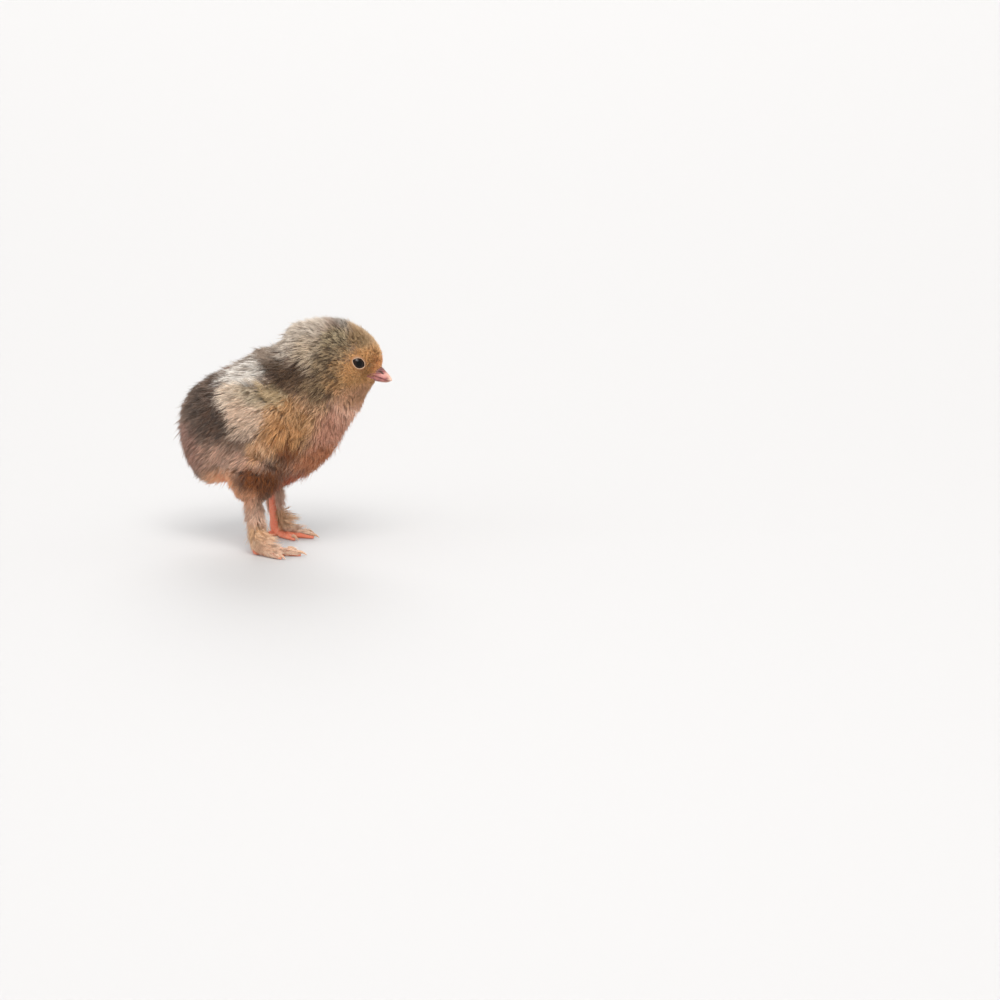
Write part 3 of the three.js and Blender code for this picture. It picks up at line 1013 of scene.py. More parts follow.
# %% Leg skin
def leg_material():
    """Orange-pink skin with plates, folds between them, and grains."""
    made, tree, shader = new_material("Leg skin")
    place = reading(tree, "mark")
    along, facing, _ = parted(tree, reading(tree, "plates"))
    plate = reckoned(tree, "FRACT", along)
    plated = stepped(tree, facing, 0.1, 0.55)
    edge = times(tree, reckoned(tree, "POWER", plate, 5.0), plated)
    fold = times(tree, stepped(tree, plate, 0.0, 0.14, 1.0, 0.0), plated)
    cells = add_node(tree, "ShaderNodeTexVoronoi", {"Vector": place, "Scale": 1700}, feature="F1")
    grain = stepped(tree, cells.outputs["Distance"], 0.2, 0.75, 1.0, 0.0)
    grain = times(tree, grain, reckoned(tree, "SUBTRACT", 1.0, plated))
    colour = mixed(tree, noised(tree, place, 330, 3.0), tint(242, 148, 114), tint(214, 110, 86))
    colour = mixed(tree, times(tree, edge, 0.5), colour, tint(240, 190, 156))
    colour = mixed(tree, times(tree, fold, 0.55), colour, tint(140, 66, 48))
    colour = mixed(tree, times(tree, grain, 0.25), colour, tint(238, 176, 140))
    height = reckoned(tree, "ADD", reckoned(tree, "POWER", plate, 2.0), times(tree, fold, -0.6))
    height = reckoned(tree, "MULTIPLY_ADD", height, plated, times(tree, grain, 0.6))
    feed(shader, {
        "Base Color": colour,
        "Roughness": stepped(tree, noised(tree, place, 900), 0.2, 0.8, 0.38, 0.58),
        "Subsurface Weight": 0.15,
        "Subsurface Radius": (0.6, 0.25, 0.15),
        "Subsurface Scale": 0.8 * mm,
        "Normal": relief_of(tree, height, 0.09, 0.8),
    })
    return made


leg_finish = leg_material()

# %% [markdown]
# ## Finish of the beak and claws
# Beak horn is a mauve pink, pale at the point and on the lower half. The nostril, the groove by it
# and the corner of the mouth are darker, as painted shade in these hollows, and a paler band on the
# side of the upper half is a painted highlight. It uses the same kind of marks as the coat, with
# small patches. Fine growth lines run across it. Claws are plain pale horn, clearer towards the
# point.

# %% Horn
beak_ground = (tint(166, 96, 92), tint(142, 74, 76))
beak_marks = [
    ("head", (12, 3, -3), (4, 5, 4), 0.35, (190, 124, 92), (174, 106, 80)),
    ("head", (16.6, 0, -4.6), (3.0, 3.2, 1.5), 0.4, (120, 64, 50), (102, 50, 42)),
    # A dark patch by the nostril: painted shade in its groove.
    ("head", (15.6, 2.6, -5.8), (1.8, 2.2, 1.1), 0.5, (112, 54, 54), (98, 44, 46)),
    # A paler band along the side of the upper half: painted highlight where the light falls on it.
    ("head", (17.6, 1.5, -7.8), (2.4, 2.5, 0.8), 0.5, (206, 144, 136), (190, 124, 120)),
    ("head", (19.4, 0, -7.6), (1.6, 3, 1.3), 0.5, (208, 160, 144), (196, 144, 130)),
    ("head", (20.6, 0, -9.8), (1.8, 3, 1.8), 0.4, (226, 190, 170), (214, 172, 152)),
    ("head", (17, 0, -12), (6, 6, 1.9), 0.3, (180, 122, 104), (164, 106, 90)),
    # A dark corner of the mouth: painted shade where the two halves meet.
    ("head", (12, 4.6, -7.9), (2.8, 1.8, 0.9), 0.3, (150, 72, 54), (132, 60, 46)),
]
beak_markings = marking_group("Beak markings", beak_ground, beak_marks, 0.25)


def horn_material(name, colour_from, growth_axis):
    """Satin horn with faint growth lines."""
    made, tree, shader = new_material(name)
    place = reading(tree, "mark")
    values = {"Vector": place, "Scale": 420, "Distortion": 3.0, "Detail": 2.0}
    settings = {"wave_type": "BANDS", "bands_direction": growth_axis}
    lines = add_node(tree, "ShaderNodeTexWave", values, **settings).outputs["Fac"]
    feed(shader, {
        "Base Color": mixed(tree, times(tree, lines, 0.12), colour_from(tree), tint(250, 226, 206)),
        "Roughness": stepped(tree, noised(tree, place, 700), 0.2, 0.8, 0.3, 0.46),
        "Subsurface Weight": 0.1,
        "Subsurface Radius": (0.5, 0.25, 0.2),
        "Subsurface Scale": 0.6 * mm,
        "Normal": relief_of(tree, lines, 0.03, 0.5),
    })
    return made


# %% Colours of the claws and the beak
def claw_colour(tree):
    """Pale horn, clouded."""
    cloud = noised(tree, reading(tree, "mark"), 500)
    return mixed(tree, cloud, tint(176, 132, 104), tint(204, 164, 132))


def beak_colour(tree):
    """The beak's marks, with painted shade darkening the slit of each nostril."""
    told = folded(tree, reading(tree, "mark"), tuple(head_middle), head_turn)
    forward, out, up = parted(tree, told)
    ahead = reckoned(tree, "SUBTRACT", forward, nostril_place[0])
    above = reckoned(tree, "SUBTRACT", up, nostril_place[1])
    cosine, sine = math.cos(nostril_slope), math.sin(nostril_slope)
    run = reckoned(tree, "MULTIPLY_ADD", above, sine, times(tree, ahead, cosine))
    rise = reckoned(tree, "MULTIPLY_ADD", above, cosine, times(tree, ahead, -sine))
    run = reckoned(tree, "POWER", reckoned(tree, "DIVIDE", run, 1.3), 2.0)
    rise = reckoned(tree, "POWER", reckoned(tree, "DIVIDE", rise, 0.36), 2.0)
    slit = stepped(tree, reckoned(tree, "ADD", run, rise), 0.5, 1.3, 1.0, 0.0)
    slit = times(tree, slit, stepped(tree, out, 0.5, 0.9))
    # The nostril slit is painted dark: painted shade in the hollow of the nostril.
    return mixed(tree, slit, marked(tree, beak_markings), tint(58, 22, 20))


beak_finish = horn_material("Beak horn", beak_colour, "Z")
claw_finish = horn_material("Claw horn", claw_colour, "X")

# %% [markdown]
# ## Finish of the eyes and lids
# The eye is a near-black brown with a black pupil, under a clear wet coat that catches the lamps.
# The pupil and iris are told by how far a place is from the outward pole of the ball. The lids
# are pale pink skin with fine creases, darker at the wet inner rim, with painted shade in the fold
# round them, deeper on the upper side.

# %% Eyes' finish
def eye_material(side):
    """A dark wet eye with a black pupil."""
    made, tree, shader = new_material(f"Eye {side}")
    place = reading(tree, "mark")
    pole = Vector(eyes[side]["middle"] + eyes[side]["outward"] * eye_radius)
    far = add_node(tree, "ShaderNodeVectorMath", {0: place, 1: pole}, operation="DISTANCE")
    away = times(tree, far.outputs["Value"], 1 / mm)
    iris = mixed(tree, noised(tree, place, 2600, 3.0), tint(20, 13, 11), tint(38, 24, 18))
    colour = mixed(tree, stepped(tree, away, 1.15, 1.3), tint(6, 5, 5), iris)
    feed(shader, {
        "Base Color": mixed(tree, stepped(tree, away, 1.9, 2.3), colour, tint(22, 13, 10)),
        "Roughness": 0.1,
        "Specular IOR Level": 0.08,
        "Coat Weight": 0.16,
        "Coat Roughness": 0.02,
    })
    return made


# %% Lids' finish
def lid_material(side):
    """Pale skin at the rim, and velvet of the face's colour beyond it, with painted shade in the
    fold between them.
    """
    made, tree, shader = new_material(f"Eyelid {side}")
    place = reading(tree, "mark")
    share, above, _ = parted(tree, reading(tree, "lid"))
    margin = mixed(tree, noised(tree, place, 900), tint(212, 180, 152), tint(184, 146, 118))
    velvet = mixed(tree, noised(tree, place, 1500), tint(160, 114, 70), tint(132, 90, 52))
    colour = mixed(tree, stepped(tree, share, 0.0, 0.06), tint(60, 36, 30), margin)
    colour = mixed(tree, stepped(tree, share, 0.2, 0.36), colour, velvet)
    # Painted shade in the fold of the lid, deeper on the upper side.
    crease_shade = reckoned(tree, "ABSOLUTE", reckoned(tree, "MULTIPLY_ADD", share, 6.0, -3.0))
    crease_shade = stepped(tree, reckoned(tree, "SUBTRACT", 1.0, crease_shade), 0.0, 0.9)
    crease_shade = times(tree, crease_shade, stepped(tree, above, -0.6, 1.2, 0.15, 0.8))
    feed(shader, {
        "Base Color": mixed(tree, crease_shade, colour, tint(104, 70, 48)),
        "Roughness": 0.5,
        "Normal": relief_of(tree, noised(tree, place, 2800), 0.05, 0.6),
    })
    return made


# %% Dress the bare pieces
skin.data.materials.append(skin_finish)
skin.data.materials.append(leg_finish)
skin.data.polygons.foreach_set("material_index", leg_material_index)
for horn in (upper_beak, lower_beak):
    horn.data.materials.append(beak_finish)
for side in eyes:
    eyes[side]["ball"].data.materials.append(eye_material(side))
    eyes[side]["lid"].data.materials.append(lid_material(side))
    claws[side].data.materials.append(claw_finish)
print("finishes:", [finish.name for finish in bpy.data.materials])

# %% [markdown]
# ## Combing
# Down lies away from the beak: back over the head, down the neck and breast, back along the body,
# and down the legs. A few strokes of a comb, each a place and a direction, say this. Between them
# the direction is a blend of the nearest strokes, laid flat on the skin.

# %% Strokes of the comb
# each stroke: forward, out, up in millimetres, and a direction forward, out, up
strokes = [
    ((36, 0, 85), (-0.5, 0, 1)),
    ((35, 6, 80), (-1, 0.6, 0.6)),
    ((25, 0, 94), (-1, 0, 0)),
    ((9, 0, 91), (-0.8, 0, -0.9)),
    ((1, 0, 80), (-0.9, 0, -0.6)),
    ((38, 4, 76), (-1, 0.8, 0.1)),
    ((29, 11, 72), (-1, 0.2, -0.35)),
    ((30, 12, 83), (-1, 0.2, 0.25)),
    ((19, 14, 77), (-1, 0, -0.5)),
    ((34, 3, 66), (-0.7, 0.2, -0.8)),
    ((28, 5, 62), (-0.35, 0.1, -1)),
    ((28, 0, 52), (-0.2, 0, -1)),
    ((18, 0, 38), (-0.8, 0, -0.8)),
    ((0, 0, 27), (-1, 0, -0.1)),
    ((-20, 0, 24), (-1, 0, 0.1)),
    ((12, 14, 67), (-0.5, 0, -1)),
    ((4, 15, 73), (-0.9, 0.1, -0.8)),
    ((-8, 6, 81), (-1, 0, -0.35)),
    ((-27, 4, 70), (-0.9, 0, -0.8)),
    ((-42, 0, 56), (-0.5, 0, -1)),
    ((-42, 0, 42), (-0.2, 0, -1)),
    ((-32, 6, 30), (-0.6, 0, -0.7)),
    ((-26, 16, 55), (-0.8, 0, -0.65)),
    ((-18, 20, 42), (-0.7, 0, -0.8)),
    ((14, 16, 50), (-0.7, 0.1, -0.8)),
    ((6, 20, 62), (-0.8, 0.1, -0.7)),
    ((-8, 23, 62), (-0.9, 0, -0.55)),
    ((-22, 20, 56), (-0.85, 0, -0.6)),
    ((4, 21, 46), (-0.45, 0, -1)),
    ((-4, 21, 40), (-0.5, 0, -0.9)),
    ((-10, 21, 33), (-0.4, 0, -1)),
    ((-10, 17, 23), (-0.1, 0.1, -1)),
    ((-8, 19, 12), (0.05, 0.25, -1)),
    ((-4, 21, 4), (0.8, 0.25, -0.3)),
    ((6, 21, 3), (1, 0.2, -0.1)),
]
stroke_places = np.array([place for place, _ in strokes], float)
stroke_ways = unit(np.array([way for _, way in strokes], float))


def combed(places, normals):
    """Which way the down lies at each place, along the skin."""
    told = on_body(places)
    far = ((told[:, None, :] - stroke_places[None]) ** 2).sum(2)
    weight = 1 / (far + 12) ** 2
    way = (weight[..., None] * stroke_ways).sum(1)
    way[:, 1] *= np.where(places[:, 1] < body_plane, -1, 1)
    wave = np.array([noise.noise_vector(Vector(place * 160)) for place in places])
    way = unit(way) + 0.32 * wave
    flat = way - normals * (way * normals).sum(1, keepdims=True)
    return unit(flat)


print("comb strokes:", len(strokes))

# %% [markdown]
# ## Where tufts stand
# The skin is made of even squares, so choosing squares at random gives evenly spread tufts with
# no pattern. Short down has to stand more closely than long down to hide the skin. No tuft stands
# on the lids, at the corner of the mouth, or on the bare sides of the legs.

# %% Length and closeness
length_spots = [
    ("body", (-8, 22, 56), (18, 8, 17), 6.6),
    ("body", (3, 21, 43), (9, 8, 6), 6.0),
    ("body", (-10, 19, 29), (13, 12, 10), 5.0),
    ("body", (-10, 14, 21), (8, 8, 6), 3.4),
    ("body", (22, 0, 50), (14, 16, 20), 6.4),
    ("head", (8, 0, -17), (11, 13, 8), 4.4),
    ("head", (0, 0, 4), (17, 17, 16), 4.8),
    ("head", (8, 7, -4), (12, 14, 13), 2.1),
    ("head", (7, 12, -1.6), (5, 5, 4.5), 1.4),
    ("head", (15, 0, -7), (5, 6, 5.5), 1.1),
]
closeness_spots = [
    ("body", (-8, 22, 56), (18, 8, 17), 5.2),
    ("body", (-10, 19, 29), (13, 12, 10), 6.0),
    ("body", (-10, 14, 21), (8, 8, 6), 8.0),
    ("body", (-2, 0, 27), (24, 10, 7), 3.0),
    ("head", (0, 0, 2), (17, 17, 18), 7.5),
    ("head", (8, 7, -4), (12, 14, 13), 16.0),
]


def clear_of_face(places):
    """How far outside the lid rings and the mouth a place is, from 1 at their edge."""
    clear = np.full(len(places), 9.0)
    for side in eyes:
        along, over = eye_axes(side)
        away = (places - eyes[side]["middle"]) / mm
        flat = np.hypot((away @ along) / lid_length, (away @ over) / lid_height)
        flat[away @ eyes[side]["outward"] < 0] = 9
        clear = np.minimum(clear, flat)
    told = on_head(places)
    mouth_from = np.array([11.0, 4.6, -7.3])
    mouth_to = np.array([17.0, 2.0, -9.7])
    line = mouth_to - mouth_from
    share = np.clip((told - mouth_from) @ line / (line @ line), 0, 1)
    mouth = np.linalg.norm(told - mouth_from - share[:, None] * line, axis=1)
    return np.minimum(clear, mouth)


# %% Sort the squares of the skin
square_places = skin_places[skin_faces].mean(1)
square_normals = unit(skin_normals[skin_faces].mean(1))
diagonals = np.cross(
    skin_places[skin_faces[:, 2]] - skin_places[skin_faces[:, 0]],
    skin_places[skin_faces[:, 3]] - skin_places[skin_faces[:, 1]],
)
square_sizes = np.linalg.norm(diagonals, axis=1) / 2 / mm**2


def nearest_part(places, nodes):
    """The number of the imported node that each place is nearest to."""
    far = []
    for node in nodes:
        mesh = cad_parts[node].data
        mesh.calc_loop_triangles()
        corners = [vertex.co for vertex in mesh.vertices]
        tree = BVHTree.FromPolygons(corners, [tuple(t.vertices) for t in mesh.loop_triangles])
        far.append([tree.find_nearest(Vector(place))[3] for place in places])
    return np.argmin(np.array(far), axis=0)


on_leg = leg_material_index == 1
square_part = np.full(len(skin_faces), -1)
square_part[~on_leg] = nearest_part(square_places[~on_leg], soft_parts)
for number, part in enumerate(soft_parts):
    area = square_sizes[square_part == number].sum()
    print(f"{part}: {area:.0f} square millimetres of skin")

# %% [markdown]
# ## Tufts
# A tuft is a few strands from one spot. Each tuft gets its root, the direction its strands lie,
# their length, and a place on a flat map of its part of the skin. What shows of a tuft lies
# further along than its root, so its marking is read there, on the outline of the down.
# All strands of a tuft lie in one small patch of that map, ready for a bake of the colours.

# %% Flat places, and places on the outline
def flat_places(squares):
    """The middle of each square on an unwrap of just these squares, spread over the whole map."""
    used, corners = np.unique(skin_faces[squares], return_inverse=True)
    part = make_object("part_of_skin", skin_places[used], corners.reshape(-1, 4))
    flat = laid_flat(part, "flat").reshape(-1, 4, 2).mean(1)
    put_away(part)
    low, high = flat.min(0), flat.max(0)
    return 0.006 + (flat - low) / (high - low) * 0.988


def nearest_on_outline(places):
    """The nearest places of the outline, and which way it faces there."""
    found = [outline_tree.find_nearest(Vector(place))[:2] for place in places]
    where = np.array([pair[0] for pair in found])
    facing = np.array([pair[1] for pair in found])
    return where, facing


# %% Choose the tufts of a piece
longest_down = 8.0
face_margin = 0.92
marked_at = 0.55


def tufts_on(squares, closeness, per_tuft):
    """Tufts on some squares, with so many strands to the square millimetre."""
    flat = flat_places(squares)
    wanted = closeness * square_sizes[squares] / per_tuft
    whole = np.floor(wanted + chance.random(len(squares))).astype(int)
    chosen = np.repeat(np.arange(len(squares)), whole)
    faces = skin_faces[squares[chosen]]
    share = chance.random((len(chosen), 2, 1))
    near = skin_places[faces[:, 0]] * (1 - share[:, 0]) + skin_places[faces[:, 1]] * share[:, 0]
    far = skin_places[faces[:, 3]] * (1 - share[:, 0]) + skin_places[faces[:, 2]] * share[:, 0]
    root = near * (1 - share[:, 1]) + far * share[:, 1]
    clear = clear_of_face(root) > face_margin
    chosen, root = chosen[clear], root[clear]
    normal = square_normals[squares[chosen]]
    way = combed(root, normal)
    length = spotted(root, longest_down, length_spots) * mm
    return {
        "root": root,
        "normal": normal,
        "way": way,
        "length": length,
        "mark": nearest_on_outline(root + way * length[:, None] * marked_at)[0],
        "flat": flat[chosen],
        "tone": chance.random(len(root)),
    }


# %% [markdown]
# ## Growing a strand
# A strand starts just under the skin, rises, and then bends over to lie along the outline, as down
# does. Its places are first guessed from the skin. Each is then set to its own depth below the
# nearest place of the outline, so that the coat keeps the true shape, even over the wings.
# Some strands of a tuft draw together into a lock, others stand free, and a few long wisps reach
# beyond the outline.

# %% Where strands run
def off_the_eyes(places):
    """Moves places that would cover an eye out to the edge of its lids."""
    moved = places.copy()
    for side in eyes:
        along, over = eye_axes(side)
        outward = eyes[side]["outward"]
        away = (moved - eyes[side]["middle"]) / mm
        x, y, out = away @ along, away @ over, away @ outward
        reach = np.maximum(np.hypot(x / (lid_length * 0.9), y / (lid_height * 0.88)), 1e-3)
        push = np.where((reach < 1) & (out > 0), 1 / reach - 1, 0)
        moved += (along * (x * push)[:, None] + over * (y * push)[:, None]) * mm
    return moved


# %% Middle lines of the strands
wisp_share = 0.16
wisp_gain = 1.12
wisp_reach = (0.05, 0.26)
length_spread = (0.78, 1.15)
stray = 0.22
root_sink = 0.15
shallowest = 0.25
locked_share = 0.6
free_pull = 0.1


def strand_lines(tufts, per_tuft, bends, loose, stand, lock):
    """The middle lines of all strands: their places at the root, at each bend and at the tip."""
    owner = np.repeat(np.arange(len(tufts["root"])), per_tuft)
    count = len(owner)
    normal, way, length = tufts["normal"][owner], tufts["way"][owner], tufts["length"][owner]
    aside = np.cross(normal, way)
    turn = chance.normal(0, loose, count)[:, None]
    ahead = way * np.cos(turn) + aside * np.sin(turn)
    moved = chance.normal(0, stray, (count, 2)) * np.minimum(length / mm / 5, 1)[:, None] * mm
    root = tufts["root"][owner] + aside * moved[:, :1] + way * moved[:, 1:]
    wisp = chance.random(count) < wisp_share
    length = length * chance.uniform(*length_spread, count) * np.where(wisp, wisp_gain, 1)
    over, facing = nearest_on_outline(root)
    depth = np.maximum(((over - root) * facing).sum(1), shallowest * mm)
    laid = np.sqrt(np.maximum(length**2 - depth**2, (0.45 * length) ** 2))
    lifted = stand * mm * np.minimum(length / mm / 5, 1) ** 2
    proud = chance.normal(0.0, 0.08, count) * length + lifted * chance.random(count)
    proud += np.where(wisp, chance.uniform(*wisp_reach, count) * length, 0)
    bow = chance.uniform(1.1, 2.0, count)
    curl = aside * chance.normal(0, 0.07, count)[:, None] * length[:, None]
    lines = [root - normal * root_sink * mm]
    for share in np.append(np.linspace(0, 1, bends + 2)[1:-1], 1.0):
        height = 1 - (1 - share) ** bow
        guess = root + ahead * (laid * share)[:, None] + normal * (depth * height)[:, None]
        guess += curl * math.sin(share * math.pi)
        over, facing = nearest_on_outline(guess)
        below = depth * (1 - height) - proud * share**2
        lines.append(over - facing * below[:, None])
    lines = np.array(lines)
    together = lines.reshape(bends + 2, -1, per_tuft, 3).mean(2)
    odds = [locked_share, 1 - locked_share]
    pull = chance.choice([lock, free_pull], len(tufts["root"]), p=odds)[owner]
    for number in range(1, bends + 2):
        share = number / (bends + 1)
        lines[number] += (together[number][owner] - lines[number]) * (pull * share)[:, None]
        lines[number] = off_the_eyes(lines[number])
        lines[number][:, 2] = np.maximum(lines[number][:, 2], shallowest * mm)
    return lines, owner, length


# %% [markdown]
# ## Solid strands
# Round each middle line goes a thin three-sided blade, flat side out, that tapers to a point. It
# is closed at the root too. Blades that narrow early look wiry, and blades that stay wide look
# like grass, so the width grows a little and then falls away evenly.

# %% Blades round the lines
def blade_faces(bends):
    """The triangles of one strand."""
    rings = bends + 1
    faces = [(0, 2, 1)]
    for ring in range(rings - 1):
        for corner in range(3):
            here, there = ring * 3 + corner, ring * 3 + (corner + 1) % 3
            faces += [(here, there, there + 3), (here, there + 3, here + 3)]
    last = (rings - 1) * 3
    faces += [(last + corner, last + (corner + 1) % 3, rings * 3) for corner in range(3)]
    return np.array(faces)


def blades(lines, normal, width):
    """Corner places of all strands, as strand, corner, place."""
    count = lines.shape[1]
    bends = len(lines) - 2
    corners = []
    roll = chance.normal(0, 0.6, count)[:, None]
    for number in range(bends + 1):
        share = number / (bends + 1)
        ahead = unit(lines[number + 1] - lines[max(number - 1, 0)])
        across = unit(np.cross(ahead, normal))
        over = np.cross(across, ahead)
        across, over = (
            across * np.cos(roll) + over * np.sin(roll),
            over * np.cos(roll) - across * np.sin(roll),
        )
        half = (width * (0.42 + 0.35 * share - 0.5 * share**2))[:, None]
        corners.append(lines[number] + across * half + over * half * 0.3)
        corners.append(lines[number] - across * half + over * half * 0.3)
        corners.append(lines[number] - over * half * 0.6)
    corners.append(lines[-1])
    return np.stack(corners, 1)


# %% [markdown]
# ## A piece of coat
# All blades of a piece become one mesh. Each vertex knows its tuft's mark, for the colour, and
# how far along its strand it is, for the shading from root to tip. On the map named OFBake a tuft
# is a patch 0.003 across at its root's place, and each strand is a narrow upright strip in it.

# %% Make a piece of coat
def coat_piece(name, tufts, per_tuft, bends, slot, loose=0.2, stand=0.5, lock=0.55):
    """One object with all the strands of some tufts."""
    lines, owner, length = strand_lines(tufts, per_tuft, bends, loose, stand, lock)
    width = (0.105 + 0.018 * length / mm) * mm * chance.uniform(0.8, 1.25, len(owner))
    corners = blades(lines, tufts["normal"][owner], width)
    count, per_strand = corners.shape[:2]
    pattern = blade_faces(bends)
    faces = (pattern[None] + np.arange(count)[:, None, None] * per_strand).reshape(-1, 3)
    flat = corners.reshape(-1, 3)
    first, second, third = (flat[faces[:, k]] for k in range(3))
    if (np.cross(first, second) * third).sum() < 0:
        faces = faces[:, ::-1]
    piece = make_object(name, flat, faces)
    along = np.minimum(np.arange(per_strand) // 3 / (bends + 1), 1.0)
    told = np.empty((count, per_strand, 3))
    told[..., 0] = along
    told[..., 1] = tufts["tone"][owner][:, None]
    told[..., 2] = chance.random(count)[:, None]
    add_attribute(piece, "strand", told)
    add_attribute(piece, "mark", np.repeat(tufts["mark"][owner], per_strand, axis=0))
    patch = 0.003
    strip = (np.arange(count) % per_tuft + 0.5) / per_tuft - 0.5
    offset = np.array([-0.4, 0.4, 0.1])[np.arange(per_strand) % 3] * patch / per_tuft
    spot = np.empty((count, per_strand, 2))
    spot[..., 0] = tufts["flat"][owner][:, :1] + strip[:, None] * patch + offset
    spot[..., 1] = tufts["flat"][owner][:, 1:] + (along - 0.5) * patch
    spot[..., 1] -= (np.arange(per_strand) % 3 == 2) * 0.08 * patch
    layer = piece.data.uv_layers.new(name="OFBake")
    layer.data.foreach_set("uv", spot.reshape(-1, 2)[faces.ravel()].astype(np.float32).ravel())
    piece.data.materials.append(down_finish)
    print(f"{name}: {len(tufts['root'])} tufts, {len(faces)} triangles")
    return piece


# %% Down on the head and neck
def squares_of(*parts):
    """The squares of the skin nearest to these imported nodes."""
    return np.flatnonzero(np.isin(square_part, [soft_parts.index(part) for part in parts]))


def grow(name, squares, ground, per_tuft, bends, slot, **lie):
    """A piece of coat on some squares, with so many strands to the square millimetre."""
    closeness = spotted(square_places[squares], ground, closeness_spots)
    tufts = tufts_on(squares, closeness, per_tuft)
    coat.append(coat_piece(name, tufts, per_tuft, bends, slot, **lie))


coat = []
grow("down_head", squares_of("head"), 7, 4, 1, "head_down", loose=0.3, stand=0.8, lock=0.45)
grow("down_neck", squares_of("neck"), 5.2, 5, 2, "body_down", lock=0.35)

# %% [markdown]
# ## Down on the body
# The trunk is the largest part, so its coat is divided into breast, back and belly. The division
# doesn't show, because strands lie across it. On the breast the down is smooth, and on the back
# its strands stand up more and lock together more.

# %% Down on the trunk and tail
trunk_squares = squares_of("trunk")
trunk_places = on_body(square_places[trunk_squares])
is_breast = trunk_places[:, 0] > 2
is_back = ~is_breast & (trunk_places[:, 2] > 48)
is_belly = ~is_breast & ~is_back
ruffled = {"breast": (is_breast, 0.2), "back": (is_back, 0.6), "belly": (is_belly, 0.5)}
for name, (chosen, much) in ruffled.items():
    squares = trunk_squares[chosen]
    grow(f"down_{name}", squares, 4.7, 5, 2, "body_down", stand=much, lock=much)
grow("down_tail", squares_of("tail"), 5.6, 5, 2, "body_down", loose=0.28, stand=1.0)

# %% Down on the wings and thighs
grow("down_wings", squares_of("wing_right", "wing_left"), 6.5, 5, 2, "wing_down")
thigh_squares = squares_of("thigh_right", "thigh_left")
grow("down_thighs", thigh_squares, 6.5, 5, 1, "thigh_down", loose=0.4, stand=1.0)

# %% [markdown]
# ## Boots and feathered toes
# Down grows on the outer and front side of each shank and over the outer toe, and a little on the
# middle toe. The inner side stays bare. The same blades are used, a little finer.

# %% Down on the legs
leg_squares = np.flatnonzero(on_leg)
leg_spots = square_places[leg_squares]
leg_facing = square_normals[leg_squares]
outer_side = np.where(leg_spots[:, 1] < body_plane, -1.0, 1.0)
facing_out = leg_facing[:, 1] * outer_side
square_told = along_bones(leg_spots, leg_facing)
bone_number = square_told[:, 2].astype(int) % 5
height = leg_spots[:, 2] / mm
boot = (bone_number == 0) & (facing_out + 0.25 * leg_facing[:, 0] > -0.1) & (height > 3)
outer_toe = (bone_number == 3) & (leg_facing[:, 2] + 0.6 * facing_out > 0.15) & (height > 0.8)
middle_toe = (bone_number == 1) & (leg_facing[:, 2] + 0.5 * facing_out > 0.6)
boot_squares = leg_squares[boot]
toe_squares = leg_squares[outer_toe | middle_toe]
boot_tufts = tufts_on(boot_squares, 15.0, 5)
boot_tufts["length"] = chance.uniform(4.6, 7.8, len(boot_tufts["root"])) * mm
toe_tufts = tufts_on(toe_squares, 17.0, 4)
toe_tufts["length"] = chance.uniform(2.4, 4.6, len(toe_tufts["root"])) * mm
coat.append(coat_piece("down_boots", boot_tufts, 5, 1, "leg_skin", loose=0.3, stand=2.0))
coat.append(coat_piece("down_toes", toe_tufts, 4, 1, "leg_skin", loose=0.4, stand=1.2))

# %% [markdown]
# At the foot of each boot longer strands spread forward and outward, and lie over the outer toe
# like a fringe.

# %% Fringe over the outer toes
fringe = (facing_out + 0.6 * leg_facing[:, 0] > 0.2) & (height > 2.4) & (height < 10)
fringe &= (bone_number == 0) | (bone_number == 3)
fringe_tufts = tufts_on(leg_squares[fringe], 13.0, 5)
fringe_ways = np.tile([1.0, 0.45, -0.25], (len(fringe_tufts["root"]), 1))
fringe_ways[fringe_tufts["root"][:, 1] < body_plane, 1] *= -1
fringe_tufts["way"] = unit(fringe_ways + chance.normal(0, 0.12, fringe_ways.shape))
fringe_tufts["length"] = chance.uniform(4.5, 9.5, len(fringe_ways)) * mm
coat.append(coat_piece("down_fringes", fringe_tufts, 5, 1, "leg_skin", loose=0.3, stand=0.8))
total = sum(len(piece.data.polygons) for piece in coat)
print("triangles in the whole coat:", total)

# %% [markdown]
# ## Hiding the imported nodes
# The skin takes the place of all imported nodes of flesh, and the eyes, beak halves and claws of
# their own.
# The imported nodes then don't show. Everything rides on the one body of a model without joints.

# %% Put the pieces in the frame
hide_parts(*soft_parts, *leg_parts)
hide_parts("beak_upper")
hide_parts("beak_lower")
for side in eyes:
    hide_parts(f"eye_{side}")
    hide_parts(*[f"claw_{toe}_{side}" for toe in toe_names])
bare_pieces = [skin, upper_beak, lower_beak]
bare_pieces += [eyes[side][part] for side in eyes for part in ("ball", "lid")]
bare_pieces += list(claws.values())
for piece in bare_pieces + coat:
    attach(piece, "root")
print("pieces:", len(bare_pieces), "bare and", len(coat), "of down")

# %% [markdown]
# ## Floor, light and camera
# A plain pale floor under soft studio light shows the form best. A wide even light from above
# and beside gives the shape, weaker ones fill the other sides, and a pale sky softens the rest. A
# small lamp puts a catch light in the eye. The camera stands low, a little ahead of the chick's
# right side, as a person kneeling by it would see it. A long lens keeps the proportions true.

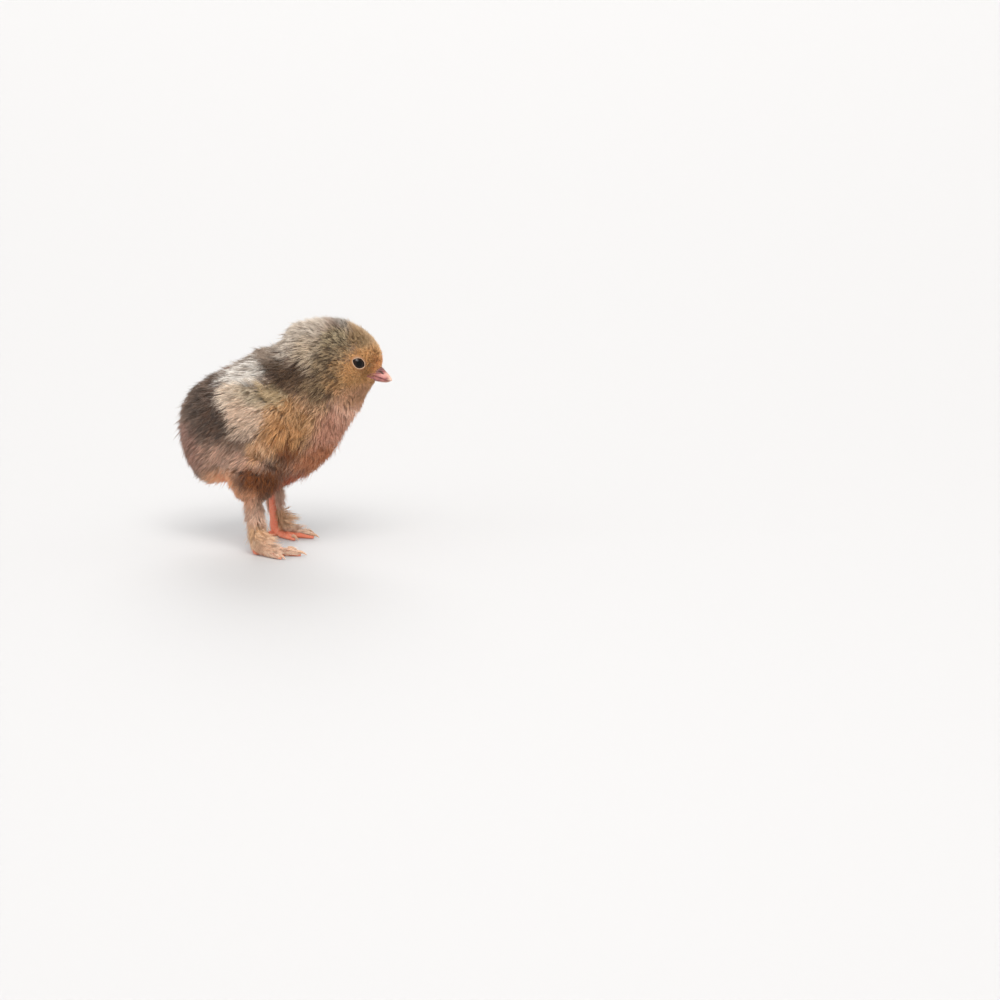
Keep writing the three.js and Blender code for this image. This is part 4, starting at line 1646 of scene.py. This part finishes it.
# %% Floor
floor_reach = 60.0
floor_corners = np.array([(-1, -1, 0), (1, -1, 0), (1, 1, 0), (-1, 1, 0)]) * floor_reach
floor = make_object("floor", floor_corners, [(0, 1, 2, 3)])
floor_paint, _, shader = new_material("Pale floor")
feed(shader, {"Base Color": tint(186, 186, 187), "Roughness": 0.7})
floor.data.materials.append(floor_paint)
floor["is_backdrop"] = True


# %% Lamps and sky
def add_lamp(name, kind, towards, power, colour=(1, 1, 1), place=(0, 0, 0), **shape):
    """A lamp that shines in a direction."""
    light = bpy.data.lights.new(name, kind)
    light.energy = power
    light.color = colour
    for key, value in shape.items():
        setattr(light, key, value)
    lamp = bpy.data.objects.new(name, light)
    lamp.location = place
    lamp.rotation_euler = Vector(towards).to_track_quat("-Z", "Y").to_euler()
    bpy.context.scene.collection.objects.link(lamp)


# wide patches of light, such as a studio's ceiling panels give
wide, wider = math.radians(40), math.radians(60)
add_lamp("Main light", "SUN", (-0.25, 0.75, -1.0), 2.3, (1, 0.97, 0.93), angle=wide)
add_lamp("Fill light", "SUN", (0.7, 0.8, -0.35), 0.8, (0.97, 0.98, 1), angle=wider)
add_lamp("Back light", "SUN", (0.2, -1.0, -0.7), 1.15, angle=wide)
catch_place, catch_aim = Vector((0.25, -0.6, 0.75)), Vector((0.03, 0, 0.08))
add_lamp("Catch light", "AREA", catch_aim - catch_place, 0.9, place=catch_place, size=0.12)
sky = bpy.data.worlds.new("Pale sky")
bpy.context.scene.world = sky
sky.use_nodes = True
feed(sky.node_tree.nodes["Background"], {"Color": tint(248, 246, 244), "Strength": 0.88})
bpy.context.scene.view_settings.view_transform = "Standard"

# %% Camera
lens = bpy.data.cameras.new("Camera")
lens.lens = 127.3
lens.sensor_width = 36
lens.clip_start = 0.01
camera = bpy.data.objects.new("Camera", lens)
camera.location = (0.3615, -1.3704, 0.3021)
look_down, look_round = math.radians(11.3), math.radians(11.25)
camera.rotation_euler = (math.pi / 2 - look_down, 0, look_round)
bpy.context.scene.collection.objects.link(camera)
bpy.context.scene.camera = camera
print("the camera is", round(camera.location.length, 2), "m from the chick")

# %% [markdown]
# ## The size
# The finished chick must be as large as the imported model. Both boxes are printed, so that
# they can be compared.

# %% Measure and finish
visual_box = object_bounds()
boxes = {"cad": cad_box, "visual": visual_box}
boxes = {name: [list(corner) for corner in box] for name, box in boxes.items()}
for name, corners in boxes.items():
    print(name, "box in mm:", [[round(value / mm, 1) for value in corner] for corner in corners])
